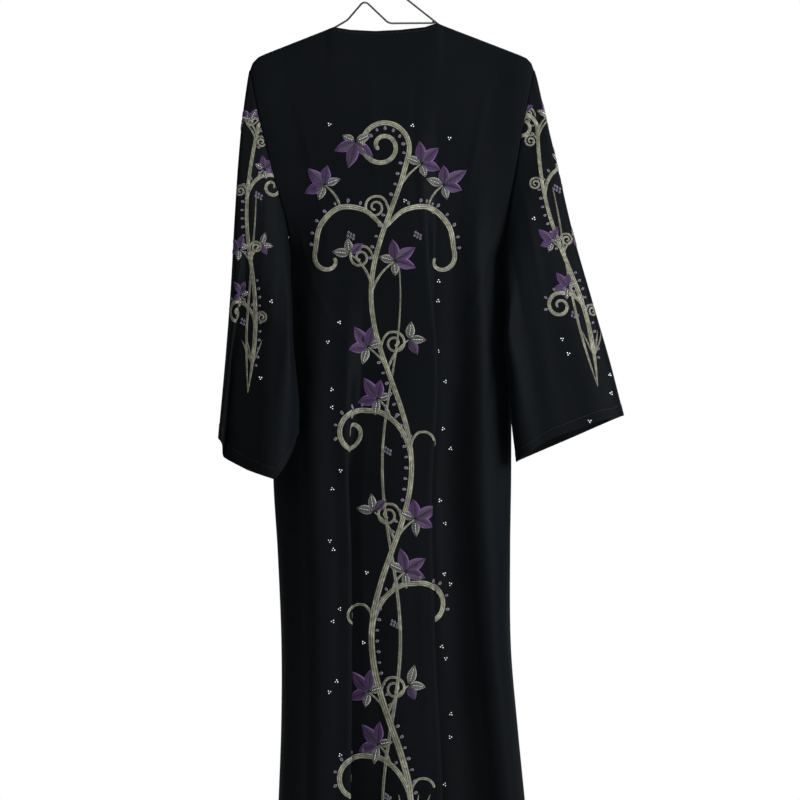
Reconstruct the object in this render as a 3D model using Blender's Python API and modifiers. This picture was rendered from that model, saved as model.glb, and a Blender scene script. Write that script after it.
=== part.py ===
"""An open-front abaya cloak hanging on a bent-wire hanger.

Metres, +Z up. The garment's back faces -Y. The origin is the rail's bearing point inside the
top of the hook, so heights are given as a drop: a distance below the rail.
"""

import math
from collections import namedtuple

import bmesh
import bpy
import numpy as np

# Driving sizes of the cloth
WALL = 0.0015
SEAM_GAP = 0.0003
TIP_DROP = 0.210
UNDERARM_DEPTH = 0.262
HEM_DEPTH = 1.350
FRONT_NECK_DROP = 0.262
FRONT_GAP = 0.012
FRONT_SPREAD = 0.010

# Driving sizes of the hanger
WIRE_RADIUS = 0.0016
HOOK_INSIDE = 0.0200
HOOK_TIP_ANGLE = 205
HOOK_SHANK_ANGLE = -35
WELD_RADIUS = 0.0030

# How far the middle of the wall stands off the wire's centre line
OVER_WIRE = WIRE_RADIUS + 2 * SEAM_GAP + WALL / 2
# The sleeve's wall may stand at any slant to the armhole, and turns sharply at the underarm
ARMHOLE_GAP = SEAM_GAP + WALL / 2
UNDERARM_GAP = 0.0020
# How far a slanting top edge stands off the middle plane, so that its wall stays clear of it
NO_CROSS = SEAM_GAP / 2 + WALL / 4

# The body at each depth below the shoulder tips: its two edges, the share of a panel's width
# that turns round to the side seam, the lean of the back and of the fronts towards the middle
# in degrees, and how far the centre-front edges stand out
Level = namedtuple("Level", "depth left right turn back_lean front_lean front_out")
LEVELS = (
    Level(0.000, -0.2215, 0.2275, 0.000, 0.0, 0.0, 0.0045),
    Level(0.060, -0.2100, 0.2150, 0.000, 2.0, 1.5, 0.0120),
    Level(0.168, -0.1835, 0.1965, 0.000, 6.0, 4.0, 0.0200),
    Level(0.262, -0.1600, 0.1835, 0.004, 8.0, 6.0, 0.0280),
    Level(0.350, -0.1715, 0.1870, 0.016, 8.5, 6.0, 0.0320),
    Level(0.490, -0.1800, 0.1905, 0.026, 9.5, 7.0, 0.0370),
    Level(0.640, -0.1840, 0.1905, 0.036, 10.0, 8.0, 0.0420),
    Level(0.760, -0.1765, 0.1880, 0.052, 11.0, 8.0, 0.0450),
    Level(0.920, -0.1700, 0.1890, 0.066, 11.0, 9.0, 0.0480),
    Level(1.040, -0.1705, 0.1990, 0.070, 11.0, 9.0, 0.0500),
    Level(1.150, -0.1740, 0.2090, 0.072, 12.0, 9.0, 0.0520),
    Level(1.350, -0.1820, 0.2260, 0.074, 12.0, 10.0, 0.0560),
)

# The line of the shoulder seams and the back neck, from tip to tip
TopPoint = namedtuple("TopPoint", "x drop")
TOP_LINE = (
    TopPoint(-0.2215, 0.2100),
    TopPoint(-0.2175, 0.1985),
    TopPoint(-0.2085, 0.1890),
    TopPoint(-0.1980, 0.1840),
    TopPoint(-0.0895, 0.1412),
    TopPoint(-0.0630, 0.1455),
    TopPoint(-0.0235, 0.1475),
    TopPoint(0.0160, 0.1455),
    TopPoint(0.0550, 0.1412),
    TopPoint(0.0740, 0.1350),
    TopPoint(0.2050, 0.1855),
    TopPoint(0.2160, 0.1905),
    TopPoint(0.2235, 0.1985),
    TopPoint(0.2275, 0.2100),
)
NECK_LEFT = -0.0895
NECK_RIGHT = 0.0740
NECK_EASE = 0.0140
NECK_OUT = 0.0045
NECK_SETTLES = 0.080
NECKLINE_CURVE = 1.7

# Depths of the rows of each body panel. The first three curl over the wire.
CURL_SHARE = 0.37
ROW_DEPTHS = (
    0.0, CURL_SHARE * OVER_WIRE, OVER_WIRE, 0.014, 0.042, 0.085, 0.135, 0.185, 0.228, 0.250,
    UNDERARM_DEPTH, 0.300, 0.370, 0.460, 0.570, 0.690, 0.820, 0.950, 1.080, 1.215, HEM_DEPTH,
)
RISE_ENDS = 0.230

# A knife fold doubles the cloth back under itself. at_top and at_hem place it as a share of
# the panel's width, hold is the share that runs back, and it grows from the depth "starts" to
# the depth "full". A positive angle tucks the side towards the far edge under.
Knife = namedtuple("Knife", "at_top at_hem hold angle starts full")
# A ripple is a soft crest, or with a negative slope a soft trough.
Ripple = namedtuple("Ripple", "at_top at_hem width slope starts full")
KNIFE_EDGE = 0.0095
# How much closer the columns lie in a knife fold and where a panel turns to its side seam
KNIFE_CROWD = 3.0
KNIFE_CROWD_SHAPE = 4
TURN_CROWD = 1.2

BACK_KNIVES = (
    Knife(0.330, 0.285, 0.052, 158, 0.30, 0.80),
    Knife(0.650, 0.640, 0.052, 158, 0.06, 0.55),
)
BACK_RIPPLES = (
    Ripple(0.090, 0.100, 0.030, -26, 0.15, 0.75),
    Ripple(0.175, 0.170, 0.036, 20, 0.10, 0.70),
    Ripple(0.510, 0.480, 0.050, 10, 0.30, 1.10),
    Ripple(0.760, 0.770, 0.034, -14, 0.10, 0.60),
    Ripple(0.860, 0.870, 0.036, 24, 0.05, 0.50),
)
LEFT_FRONT_KNIVES = (Knife(0.560, 0.520, 0.055, 150, 0.30, 0.95),)
LEFT_FRONT_RIPPLES = (
    Ripple(0.200, 0.220, 0.060, -22, 0.20, 0.80),
    Ripple(0.350, 0.330, 0.060, 20, 0.15, 0.80),
    Ripple(0.830, 0.820, 0.070, 16, 0.20, 0.90),
)
RIGHT_FRONT_KNIVES = (Knife(0.480, 0.460, 0.055, 150, 0.25, 0.85),)
RIGHT_FRONT_RIPPLES = (
    Ripple(0.220, 0.200, 0.065, -20, 0.25, 0.85),
    Ripple(0.700, 0.680, 0.055, -16, 0.25, 0.90),
    Ripple(0.850, 0.850, 0.060, 18, 0.20, 0.80),
)
BACK_COLUMNS = 50
FRONT_COLUMNS = 24

# Sleeve rings from armhole to cuff. "outer" is the fold that falls from the shoulder tip and
# "inner" the underarm seam, each with its x, drop and y. back and front are how far the two
# halves stand out, and dip is how far the back half's cuff line hangs below a straight line.
Ring = namedtuple("Ring", "share outer_x outer_drop outer_y inner_x inner_drop inner_y"
                          " back front dip")
LEFT_RINGS = (
    Ring(0.00, -0.2225, 0.210, 0.000, -0.1620, 0.472, 0.000, 0.010, 0.006, 0.000),
    Ring(0.05, -0.2250, 0.224, -0.001, -0.1650, 0.496, -0.005, 0.010, 0.006, 0.000),
    Ring(0.14, -0.2320, 0.275, -0.003, -0.1625, 0.532, -0.018, 0.011, 0.006, 0.000),
    Ring(0.28, -0.2390, 0.350, -0.006, -0.1545, 0.580, -0.031, 0.014, 0.007, 0.000),
    Ring(0.45, -0.2450, 0.450, -0.010, -0.1530, 0.635, -0.042, 0.018, 0.008, 0.005),
    Ring(0.65, -0.2500, 0.560, -0.015, -0.1480, 0.690, -0.048, 0.024, 0.010, 0.025),
    Ring(0.85, -0.2580, 0.690, -0.020, -0.1440, 0.745, -0.050, 0.030, 0.012, 0.050),
    Ring(1.00, -0.2655, 0.784, -0.024, -0.1450, 0.785, -0.052, 0.034, 0.014, 0.070),
)
RIGHT_RINGS = (
    Ring(0.00, 0.2285, 0.210, 0.000, 0.1855, 0.472, 0.000, 0.010, 0.006, 0.000),
    Ring(0.05, 0.2320, 0.222, -0.001, 0.1900, 0.500, -0.005, 0.010, 0.010, 0.000),
    Ring(0.14, 0.2415, 0.264, -0.002, 0.1900, 0.535, -0.013, 0.012, 0.011, 0.000),
    Ring(0.28, 0.2605, 0.345, -0.004, 0.1840, 0.584, -0.024, 0.014, 0.011, 0.000),
    Ring(0.45, 0.2860, 0.458, -0.006, 0.1800, 0.640, -0.032, 0.015, 0.010, 0.000),
    Ring(0.65, 0.3170, 0.570, -0.008, 0.1920, 0.695, -0.034, 0.018, 0.012, -0.004),
    Ring(0.85, 0.3470, 0.675, -0.010, 0.1980, 0.765, -0.034, 0.022, 0.016, -0.010),
    Ring(1.00, 0.3675, 0.756, -0.012, 0.2000, 0.828, -0.034, 0.026, 0.020, -0.014),
)
DIP_PEAK = 0.62
# A quarter turn at a sleeve's edge runs over this many times its depth
SLEEVE_TURN = 1.2
SLEEVE_TURN_COLUMNS = (0.06, 0.06)
ARMHOLE_OUT = 0.0110
# The armhole's arch is blunter than a half circle, and it closes sharply at its bottom
ARCH_SHAPE = 0.6
ARCH_BOTTOM = 12
UNDERARM_GAP_SHAPE = 8
# Half the flat at the underarm, where the seams of a side come together
UNDERARM_OUT = 0.0028
UNDERARM_CLOSES = 0.040
# Below the underarm the side seams lie this far to the front of the sleeves
SEAM_FORWARD = 0.010
# The middle of a panel stands out this far from this depth down, whatever its side edges do
MIDDLE_OUT = 0.0105
MIDDLE_FULL = 0.150
EDGE_REACH = 0.140
ARMHOLE_SETTLES = 0.22
SLEEVE_ROWS = (0.0, 0.04, 0.09, 0.15, 0.23, 0.33, 0.45, 0.57, 0.69, 0.80, 0.90, 1.0)
SLEEVE_COLUMNS = 16
NO_FOLDS = ()
LEFT_SLEEVE_KNIVES = (Knife(0.230, 0.230, 0.060, 150, 0.40, 0.80),)
LEFT_SLEEVE_RIPPLES = (Ripple(0.640, 0.620, 0.110, 10, 0.15, 0.90),)
RIGHT_SLEEVE_RIPPLES = (
    Ripple(0.300, 0.300, 0.090, 9, 0.20, 0.90),
    Ripple(0.720, 0.760, 0.080, -10, 0.15, 0.80),
)
SLEEVE_FRONT_RIPPLES = (Ripple(0.480, 0.480, 0.110, -14, 0.20, 0.90),)

# The hanger's wire from below the shank round to its end, with each corner's bend radius. The
# drops of the corners under the cloth come from the shoulder line.
Corner = namedtuple("Corner", "x drop radius")
SHANK_DROP = 0.076
SHANK_BEND = 0.010
ARM_RIGHT_NECK = 0.0830
ARM_RIGHT_END = 0.2090
BAR_DROP = 0.2120
BAR_RIGHT_END = 0.2000
BAR_LEFT_END = -0.1960
ARM_LEFT_END = -0.2040
ARM_LEFT_NECK = -0.0985
END_BEND = 0.006
NECK_BEND = 0.020
HUMP = (Corner(-0.0675, 0.1300, 0.020), Corner(-0.0405, 0.0985, 0.008),
        Corner(-0.0020, 0.1350, 0.014), Corner(0.0675, 0.1345, 0.0))
WELD_AT = (0.0695, 0.1328)
ARC_STEP = math.radians(20)
# The arms run as straight as the shoulder seams between these places
SLOPE_RIGHT = (0.10, 0.18)
SLOPE_LEFT = (-0.12, -0.18)
SLOPE_STEP = 0.005
WIRE_BEVEL = 2
WELD_SEGMENTS = 12
WELD_RINGS = 8

FINE = 1200
MATERIALS = {
    "black_crepe": ((0.012, 0.013, 0.015, 1.0), 0.85, 0.0),
    "grey_wire": ((0.16, 0.16, 0.165, 1.0), 0.35, 0.9),
}


def smooth_step(low, high, value):
    share = np.clip((np.asarray(value, float) - low) / (high - low), 0.0, 1.0)
    return share * share * (3 - 2 * share)


def column(table, name):
    return np.array([getattr(row, name) for row in table])


def through(knots, values, at):
    """A smooth curve through the knots, level with the chord of each knot's two neighbours."""
    slopes = np.gradient(values, knots)
    at = min(max(at, knots[0]), knots[-1])
    left = int(np.clip(np.searchsorted(knots, at, side="right") - 1, 0, len(knots) - 2))
    span = knots[left + 1] - knots[left]
    t = (at - knots[left]) / span
    return float(
        values[left] * (1 + 2 * t) * (1 - t) ** 2
        + slopes[left] * span * t * (1 - t) ** 2
        + values[left + 1] * t * t * (3 - 2 * t)
        + slopes[left + 1] * span * t * t * (t - 1)
    )


def level(name, depth):
    return through(column(LEVELS, "depth"), column(LEVELS, name), depth)


def fold_heading(u, progress, run, knives, ripples):
    """The heading, in degrees, that the folds add to the cloth at each share u of its width.

    progress is the depth or share at which the row lies, and run its value at the hem."""
    heading = np.zeros_like(u)
    for fold in knives:
        grown = smooth_step(fold.starts, fold.full, progress)
        at = fold.at_top + (fold.at_hem - fold.at_top) * progress / run
        before = np.tanh((u - at + fold.hold / 2) / KNIFE_EDGE)
        after = np.tanh((u - at - fold.hold / 2) / KNIFE_EDGE)
        heading -= grown * fold.angle * (before - after) / 2
    for fold in ripples:
        grown = smooth_step(fold.starts, fold.full, progress)
        at = fold.at_top + (fold.at_hem - fold.at_top) * progress / run
        away = (u - at) / fold.width
        heading -= grown * fold.slope * away * np.exp((1 - away**2) / 2)
    return heading


def cross_section(u, width, ends_out, turns, lean, folds):
    """One level line of the cloth as (along, out). Every share of u is the same length of it.

    It spans the width. ends_out is how far its two ends stand out, turns the shares that turn
    round towards a seam at either end, and lean the heading that crowns the middle."""
    heading = lean * (1 - 2 * u) + folds
    if turns[0] > 0:
        heading += 90 * (1 - smooth_step(0, 2 * turns[0], u))
    if turns[1] > 0:
        heading -= 90 * (1 - smooth_step(0, 2 * turns[1], 1 - u))
    heading = np.radians((heading[1:] + heading[:-1]) / 2)
    along = np.concatenate([[0], np.cumsum(np.cos(heading) * np.diff(u))])
    out = np.concatenate([[0], np.cumsum(np.sin(heading) * np.diff(u))])
    along, out = along * width / along[-1], out * width / along[-1]
    rise = ends_out[1] - ends_out[0] - out[-1]
    return along, ends_out[0] + out + rise * along / width


def spread_columns(count, knives, turns):
    """Shares of the width, closest together where the cloth turns most."""
    fine = np.linspace(0, 1, FINE)
    crowd = np.ones(FINE)
    for fold in knives:
        middle = (fold.at_top + fold.at_hem) / 2
        reach = fold.hold / 2 + abs(fold.at_hem - fold.at_top) / 2 + 2 * KNIFE_EDGE
        crowd += KNIFE_CROWD * np.exp(-(((fine - middle) / reach) ** KNIFE_CROWD_SHAPE))
    for turn, end in zip(turns, (0, 1)):
        if turn > 0:
            crowd += TURN_CROWD * np.exp(-(((fine - end) / turn) ** 2))
    total = np.concatenate([[0], np.cumsum((crowd[1:] + crowd[:-1]) / 2)])
    return np.interp(np.linspace(0, total[-1], count + 1), total, fine)


def over_wire_out(depth):
    """The wall's curl over the wire, as how far it stands out just below the shoulder seam."""
    return math.sqrt(OVER_WIRE**2 - (OVER_WIRE - min(depth, OVER_WIRE)) ** 2)


def seam_out(depth):
    """How far a panel's side edge stands out: round the armhole, then at the side seam."""
    if depth > UNDERARM_DEPTH:
        closed = float(smooth_step(0, UNDERARM_CLOSES, depth - UNDERARM_DEPTH))
        return UNDERARM_OUT + (SEAM_GAP / 2 - UNDERARM_OUT) * closed
    share = depth / UNDERARM_DEPTH
    arch = ARMHOLE_OUT * max(math.sin(math.pi * share), 0.0) ** ARCH_SHAPE
    bottom = share**ARCH_BOTTOM
    return max((over_wire_out(depth) + arch) * math.sqrt(1 - bottom) + UNDERARM_OUT * bottom,
               NO_CROSS)


def middle_out(depth):
    return over_wire_out(depth) + (MIDDLE_OUT - over_wire_out(depth)) * float(
        smooth_step(0, MIDDLE_FULL, depth)
    )


def near_edge(u, both):
    """1 at a panel's side edge or edges, fading to 0 within the panel."""
    return 1 - smooth_step(0, EDGE_REACH, np.minimum(u, 1 - u) if both else u)


def top_drop(x):
    return np.interp(x, column(TOP_LINE, "x"), column(TOP_LINE, "drop"))


def front_top_drop(x):
    """The shoulder seam, then a neckline that falls to the centre front."""
    neck = np.where(x < 0, NECK_LEFT, NECK_RIGHT)
    share = np.clip(x / neck, 0, 1)
    neckline = top_drop(neck) + (FRONT_NECK_DROP - top_drop(neck)) * (1 - share**NECKLINE_CURVE)
    return np.where(share < 1, neckline, top_drop(x))


def neck_share(x):
    """1 along the free edge of the neckline, 0 along the shoulder seams."""
    return smooth_step(NECK_LEFT - NECK_EASE, NECK_LEFT, x) * (
        1 - smooth_step(NECK_RIGHT, NECK_RIGHT + NECK_EASE, x)
    )


def body_row(u, depth, x_ends, far_out, turns, lean, folds, top_of, top_ends):
    """One row of a body panel as points of x, out and drop.

    far_out is how far the end away from the first side edge stands out, or None at a second
    side edge."""
    middle = middle_out(depth)
    out_ends = (middle, middle if far_out is None else far_out)
    along, out = cross_section(u, abs(x_ends[1] - x_ends[0]), out_ends, turns, lean, folds)
    out = out + (seam_out(depth) - middle) * near_edge(u, far_out is None)
    x = x_ends[0] + math.copysign(1, x_ends[1] - x_ends[0]) * along
    settled = float(smooth_step(0, NECK_SETTLES, depth))
    out = out + (NECK_OUT - over_wire_out(depth)) * neck_share(x) * (1 - settled)
    top = top_of(top_ends[0] + (top_ends[1] - top_ends[0]) * u)
    rise = (TIP_DROP - top) * (1 - float(smooth_step(0, RISE_ENDS, depth)))
    return np.stack([x, out, TIP_DROP + depth - rise], axis=1)


def back_row(u, depth):
    turn = level("turn", depth)
    folds = fold_heading(u, depth, HEM_DEPTH, BACK_KNIVES, BACK_RIPPLES)
    return body_row(
        u, depth, (level("left", depth), level("right", depth)), None, (turn, turn),
        level("back_lean", depth), folds, top_drop, (LEVELS[0].left, LEVELS[0].right),
    )


def front_row(u, depth, side, knives, ripples):
    """One row from the side seam to the centre-front edge. side is -1 for the left front."""
    name = "left" if side < 0 else "right"
    edge_top = side * FRONT_GAP / 2
    edge = edge_top + side * FRONT_SPREAD * depth
    folds = fold_heading(u, depth, HEM_DEPTH, knives, ripples)
    return body_row(
        u, depth, (level(name, depth), edge), level("front_out", depth),
        (level("turn", depth), 0), level("front_lean", depth), folds,
        front_top_drop, (getattr(LEVELS[0], name), edge_top),
    )


def pick(row, fine, u):
    """The chosen shares of a finely worked row."""
    return np.stack([np.interp(u, fine, row[:, k]) for k in range(3)], axis=1)


def clear_seam(row, end, beside):
    """Holds the wall of a side seam's edge off the garment's middle plane."""
    run, rise = np.abs(row[beside, :2] - row[end, :2])
    room = SEAM_GAP / 2 + WALL / 2 * run / math.hypot(run, rise)
    row[end, 1] = max(row[end, 1], room)


def panel_points(row_at, columns, knives, turns, toward):
    """A body panel as rows of points. toward is -1 for the back and +1 for a front."""
    both = toward < 0
    fine = np.linspace(0, 1, FINE)
    u = spread_columns(columns, knives, turns)
    rows = []
    for depth in ROW_DEPTHS:
        row = pick(row_at(fine, depth), fine, u)
        if depth >= UNDERARM_DEPTH:
            clear_seam(row, 0, 1)
            if both:
                clear_seam(row, -1, -2)
        closed = smooth_step(0, UNDERARM_CLOSES, depth - UNDERARM_DEPTH)
        forward = SEAM_FORWARD * closed * near_edge(u, both)
        y = toward * row[:, 1] + forward
        rows.append(list(zip(row[:, 0], y, -row[:, 2])))
    return rows


def ring_value(rings, name, share):
    return through(column(rings, "share"), column(rings, name), share)


def armhole_half(u, side, toward):
    """The armhole seam from tip to underarm, on the sleeve's side of the seam gap."""
    depths = [d for d in ROW_DEPTHS if d <= UNDERARM_DEPTH]
    name = "left" if side < 0 else "right"
    grown = [(d / UNDERARM_DEPTH) ** UNDERARM_GAP_SHAPE for d in depths]
    gaps = [ARMHOLE_GAP + (UNDERARM_GAP - ARMHOLE_GAP) * share for share in grown]
    x = [level(name, d) + side * gap for d, gap in zip(depths, gaps)]
    y = [toward * (seam_out(d) if d > 0 else 0) for d in depths]
    at = u * UNDERARM_DEPTH
    return np.stack([np.interp(at, depths, x), np.interp(at, depths, y), -TIP_DROP - at], axis=1)


def sleeve_half(u, share, rings, side, toward, knives, ripples):
    """Half a ring from the outer fold to the underarm seam, as points."""
    value = lambda name: ring_value(rings, name, share)
    outer = np.array([value("outer_x"), value("outer_y"), -value("outer_drop")])
    inner = np.array([value("inner_x"), value("inner_y"), -value("inner_drop")])
    across = inner - outer
    width = float(np.linalg.norm(across))
    across /= width
    outward = np.array([0.0, toward, 0.0])
    outward -= across * float(outward @ across)
    outward /= np.linalg.norm(outward)
    turn = value("back" if toward < 0 else "front") / (SLEEVE_TURN * width)
    folds = fold_heading(u, share, 1.0, knives, ripples)
    along, out = cross_section(u, width, (0, UNDERARM_OUT), (turn, turn), 0, folds)
    points = outer + along[:, None] * across + out[:, None] * outward
    if toward < 0:
        before = smooth_step(0, DIP_PEAK, along / width)
        after = 1 - smooth_step(DIP_PEAK, 1, along / width)
        points[:, 2] -= value("dip") * before * after
    near = 1 - float(smooth_step(0, ARMHOLE_SETTLES, share))
    straight = outer + u[:, None] * across * width
    seam = armhole_half(u, side, toward)
    seam_straight = seam[0] + u[:, None] * ((seam[-1] - seam[0]) * (1, 0, 1))
    return straight + (points - straight) * (1 - near) + (seam - seam_straight) * near


def sleeve_points(rings, side, back_knives, back_ripples):
    """A sleeve as closed rings of points, each back half then front half."""
    fine = np.linspace(0, 1, FINE)
    rows = []
    for share in SLEEVE_ROWS:
        ring = []
        for toward, knives, ripples in (
            (-1, back_knives, back_ripples), (+1, NO_FOLDS, SLEEVE_FRONT_RIPPLES),
        ):
            u = spread_columns(SLEEVE_COLUMNS, knives, SLEEVE_TURN_COLUMNS)
            half = pick(sleeve_half(fine, share, rings, side, toward, knives, ripples), fine, u)
            ring += list(half if toward < 0 else half[:0:-1])
        rows.append([tuple(float(c) for c in point) for point in ring])
    return rows


def collection(name):
    made = bpy.data.collections.new(name)
    bpy.context.scene.collection.children.link(made)
    return made


def material(name):
    colour, roughness, metallic = MATERIALS[name]
    made = bpy.data.materials.new(name)
    made.use_nodes = True
    shader = made.node_tree.nodes["Principled BSDF"]
    shader.inputs["Base Color"].default_value = colour
    shader.inputs["Roughness"].default_value = roughness
    shader.inputs["Metallic"].default_value = metallic
    return made


def cloth_object(name, rows, closed, flip, home, look):
    """A grid of faces through the rows of points, thickened to the wall."""
    mesh = bpy.data.meshes.new(name)
    shape = bmesh.new()
    grid = [[shape.verts.new(point) for point in row] for row in rows]
    for upper, lower in zip(grid, grid[1:]):
        count = len(upper)
        for i in range(count if closed else count - 1):
            j = (i + 1) % count
            corners = (upper[i], lower[i], lower[j], upper[j])
            shape.faces.new(corners[::-1] if flip else corners)
    shape.to_mesh(mesh)
    shape.free()
    mesh.polygons.foreach_set("use_smooth", [True] * len(mesh.polygons))
    made = bpy.data.objects.new(name, mesh)
    home.objects.link(made)
    made.data.materials.append(look)
    wall = made.modifiers.new("wall", "SOLIDIFY")
    wall.thickness = WALL
    wall.offset = 0
    return made


def rounded(corners):
    """The points of a line through the corners, each rounded to its bend radius."""
    points = [np.array(corners[0][:2])]
    for before, corner, after in zip(corners, corners[1:], corners[2:]):
        here = np.array(corner[:2])
        back = np.array(before[:2]) - here
        on = np.array(after[:2]) - here
        back, on = back / np.linalg.norm(back), on / np.linalg.norm(on)
        half = math.acos(float(np.clip(back @ on, -1, 1))) / 2
        sweep = math.pi - 2 * half
        centre = here + (back + on) / np.linalg.norm(back + on) * corner[2] / math.sin(half)
        start = here + back * corner[2] / math.tan(half) - centre
        spin = math.copysign(1, float(-back[0] * on[1] + back[1] * on[0]))
        steps = max(2, math.ceil(sweep / ARC_STEP))
        for i in range(steps + 1):
            angle = spin * sweep * i / steps
            turned = (start[0] * math.cos(angle) - start[1] * math.sin(angle),
                      start[0] * math.sin(angle) + start[1] * math.cos(angle))
            points.append(centre + turned)
    points.append(np.array(corners[-1][:2]))
    return points


def under_cloth(x):
    """The drop of the wire's centre line below the shoulder seam at x."""
    slope = float(top_drop(x + SLOPE_STEP) - top_drop(x - SLOPE_STEP)) / (2 * SLOPE_STEP)
    return float(top_drop(x)) + OVER_WIRE * math.hypot(1, slope)


def arm_end_drop(neck, end, slope_at):
    """The drop of an arm's end, straight on from its start at the neck."""
    fall = (under_cloth(slope_at[1]) - under_cloth(slope_at[0])) / abs(slope_at[1] - slope_at[0])
    return under_cloth(neck) + abs(end - neck) * fall


def hanger_route():
    reach = HOOK_INSIDE + WIRE_RADIUS
    steps = math.ceil(math.radians(HOOK_TIP_ANGLE - HOOK_SHANK_ANGLE) / ARC_STEP)
    angles = np.radians(np.linspace(HOOK_TIP_ANGLE, HOOK_SHANK_ANGLE, steps + 1))
    hook = [np.array((reach * math.cos(a), HOOK_INSIDE - reach * math.sin(a))) for a in angles]
    leave = math.radians(HOOK_SHANK_ANGLE)
    down = hook[-1][0] / -math.sin(leave) * math.cos(leave)
    route = [
        Corner(*hook[-1], 0.0),
        Corner(0.0, hook[-1][1] + down, SHANK_BEND),
        Corner(0.0, SHANK_DROP, SHANK_BEND),
        Corner(ARM_RIGHT_NECK, under_cloth(ARM_RIGHT_NECK), NECK_BEND),
        Corner(ARM_RIGHT_END, arm_end_drop(ARM_RIGHT_NECK, ARM_RIGHT_END, SLOPE_RIGHT), END_BEND),
        Corner(BAR_RIGHT_END, BAR_DROP, END_BEND),
        Corner(BAR_LEFT_END, BAR_DROP, END_BEND),
        Corner(ARM_LEFT_END, arm_end_drop(ARM_LEFT_NECK, ARM_LEFT_END, SLOPE_LEFT), END_BEND),
        Corner(ARM_LEFT_NECK, under_cloth(ARM_LEFT_NECK), NECK_BEND),
        *HUMP,
    ]
    return hook[:-1] + rounded(route)


def hanger_object(home, cutters, look):
    route = hanger_route()
    curve = bpy.data.curves.new("hanger_line", "CURVE")
    curve.dimensions = "3D"
    curve.bevel_depth = WIRE_RADIUS
    curve.bevel_resolution = WIRE_BEVEL
    curve.use_fill_caps = True
    line = curve.splines.new("POLY")
    line.points.add(len(route) - 1)
    for point, (x, drop) in zip(line.points, route):
        point.co = (x, 0.0, -drop, 1.0)
    drawn = bpy.data.objects.new("hanger_line", curve)
    home.objects.link(drawn)
    graph = bpy.context.evaluated_depsgraph_get()
    mesh = bpy.data.meshes.new_from_object(drawn.evaluated_get(graph))
    bpy.data.objects.remove(drawn)
    mesh.name = "hanger"
    made = bpy.data.objects.new("hanger", mesh)
    home.objects.link(made)
    mesh.materials.clear()
    mesh.materials.append(look)
    mesh.polygons.foreach_set("use_smooth", [True] * len(mesh.polygons))

    bpy.ops.mesh.primitive_uv_sphere_add(
        segments=WELD_SEGMENTS, ring_count=WELD_RINGS, radius=WELD_RADIUS,
        location=(WELD_AT[0], 0, -WELD_AT[1]),
    )
    bead = bpy.context.object
    bead.name = "weld_bead"
    for owner in list(bead.users_collection):
        owner.objects.unlink(bead)
    cutters.objects.link(bead)
    bead.hide_render = True
    bead.display_type = "WIRE"
    join = made.modifiers.new("weld", "BOOLEAN")
    join.operation = "UNION"
    join.solver = "EXACT"
    join.object = bead
    return made


for leftover in list(bpy.data.objects):
    bpy.data.objects.remove(leftover)

garment = collection("abaya_on_hanger")
cutters = collection("cutters")
crepe = material("black_crepe")
wire = material("grey_wire")
side_turn = LEVELS[-1].turn

hanger_object(garment, cutters, wire)
cloth_object(
    "back", panel_points(back_row, BACK_COLUMNS, BACK_KNIVES, (side_turn, side_turn), -1),
    False, False, garment, crepe,
)
cloth_object(
    "front_left",
    panel_points(lambda u, d: front_row(u, d, -1, LEFT_FRONT_KNIVES, LEFT_FRONT_RIPPLES),
                 FRONT_COLUMNS, LEFT_FRONT_KNIVES, (side_turn, 0), +1),
    False, True, garment, crepe,
)
cloth_object(
    "front_right",
    panel_points(lambda u, d: front_row(u, d, +1, RIGHT_FRONT_KNIVES, RIGHT_FRONT_RIPPLES),
                 FRONT_COLUMNS, RIGHT_FRONT_KNIVES, (side_turn, 0), +1),
    False, False, garment, crepe,
)
cloth_object(
    "sleeve_left", sleeve_points(LEFT_RINGS, -1, LEFT_SLEEVE_KNIVES, LEFT_SLEEVE_RIPPLES),
    True, False, garment, crepe,
)
cloth_object(
    "sleeve_right", sleeve_points(RIGHT_RINGS, +1, NO_FOLDS, RIGHT_SLEEVE_RIPPLES),
    True, True, garment, crepe,
)
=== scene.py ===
import math
import random
from collections import namedtuple

import bmesh
import bpy
import numpy as np
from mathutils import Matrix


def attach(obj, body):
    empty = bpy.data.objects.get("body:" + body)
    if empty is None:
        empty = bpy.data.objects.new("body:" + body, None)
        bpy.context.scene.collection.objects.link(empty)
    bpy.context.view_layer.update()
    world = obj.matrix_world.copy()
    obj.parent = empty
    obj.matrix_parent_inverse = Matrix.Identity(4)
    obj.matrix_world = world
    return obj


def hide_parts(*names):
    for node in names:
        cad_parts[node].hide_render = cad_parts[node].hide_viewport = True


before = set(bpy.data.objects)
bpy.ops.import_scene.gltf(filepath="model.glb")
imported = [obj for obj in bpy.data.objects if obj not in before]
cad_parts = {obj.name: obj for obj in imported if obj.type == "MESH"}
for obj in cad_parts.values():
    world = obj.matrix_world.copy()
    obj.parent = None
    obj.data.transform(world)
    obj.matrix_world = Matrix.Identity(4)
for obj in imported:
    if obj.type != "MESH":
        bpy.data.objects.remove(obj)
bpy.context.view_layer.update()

# The cloak hangs in white air, well clear of a round pale floor.
# The camera stands far off and level with the skirt, so the cloak is seen flat on, and large
# soft lamps light it from both sides, a little more from its right.
VIEW_CENTRE = (0.0157, -0.7309)
VIEW_WIDTH = 1.2552
CLOTH_FACE = -0.05
CAMERA_AWAY = 6.0
lens_camera = bpy.data.cameras.new("photo_camera")
lens_camera.sensor_width = 36.0
lens_camera.lens = lens_camera.sensor_width * CAMERA_AWAY / VIEW_WIDTH
lens_camera.clip_end = 60.0
photo_camera = bpy.data.objects.new("photo_camera", lens_camera)
photo_camera.location = (VIEW_CENTRE[0], CLOTH_FACE - CAMERA_AWAY, VIEW_CENTRE[1])
photo_camera.rotation_euler = (math.radians(90), 0, 0)
bpy.context.scene.collection.objects.link(photo_camera)
bpy.context.scene.camera = photo_camera
bpy.context.scene.view_settings.view_transform = "Standard"


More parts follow.
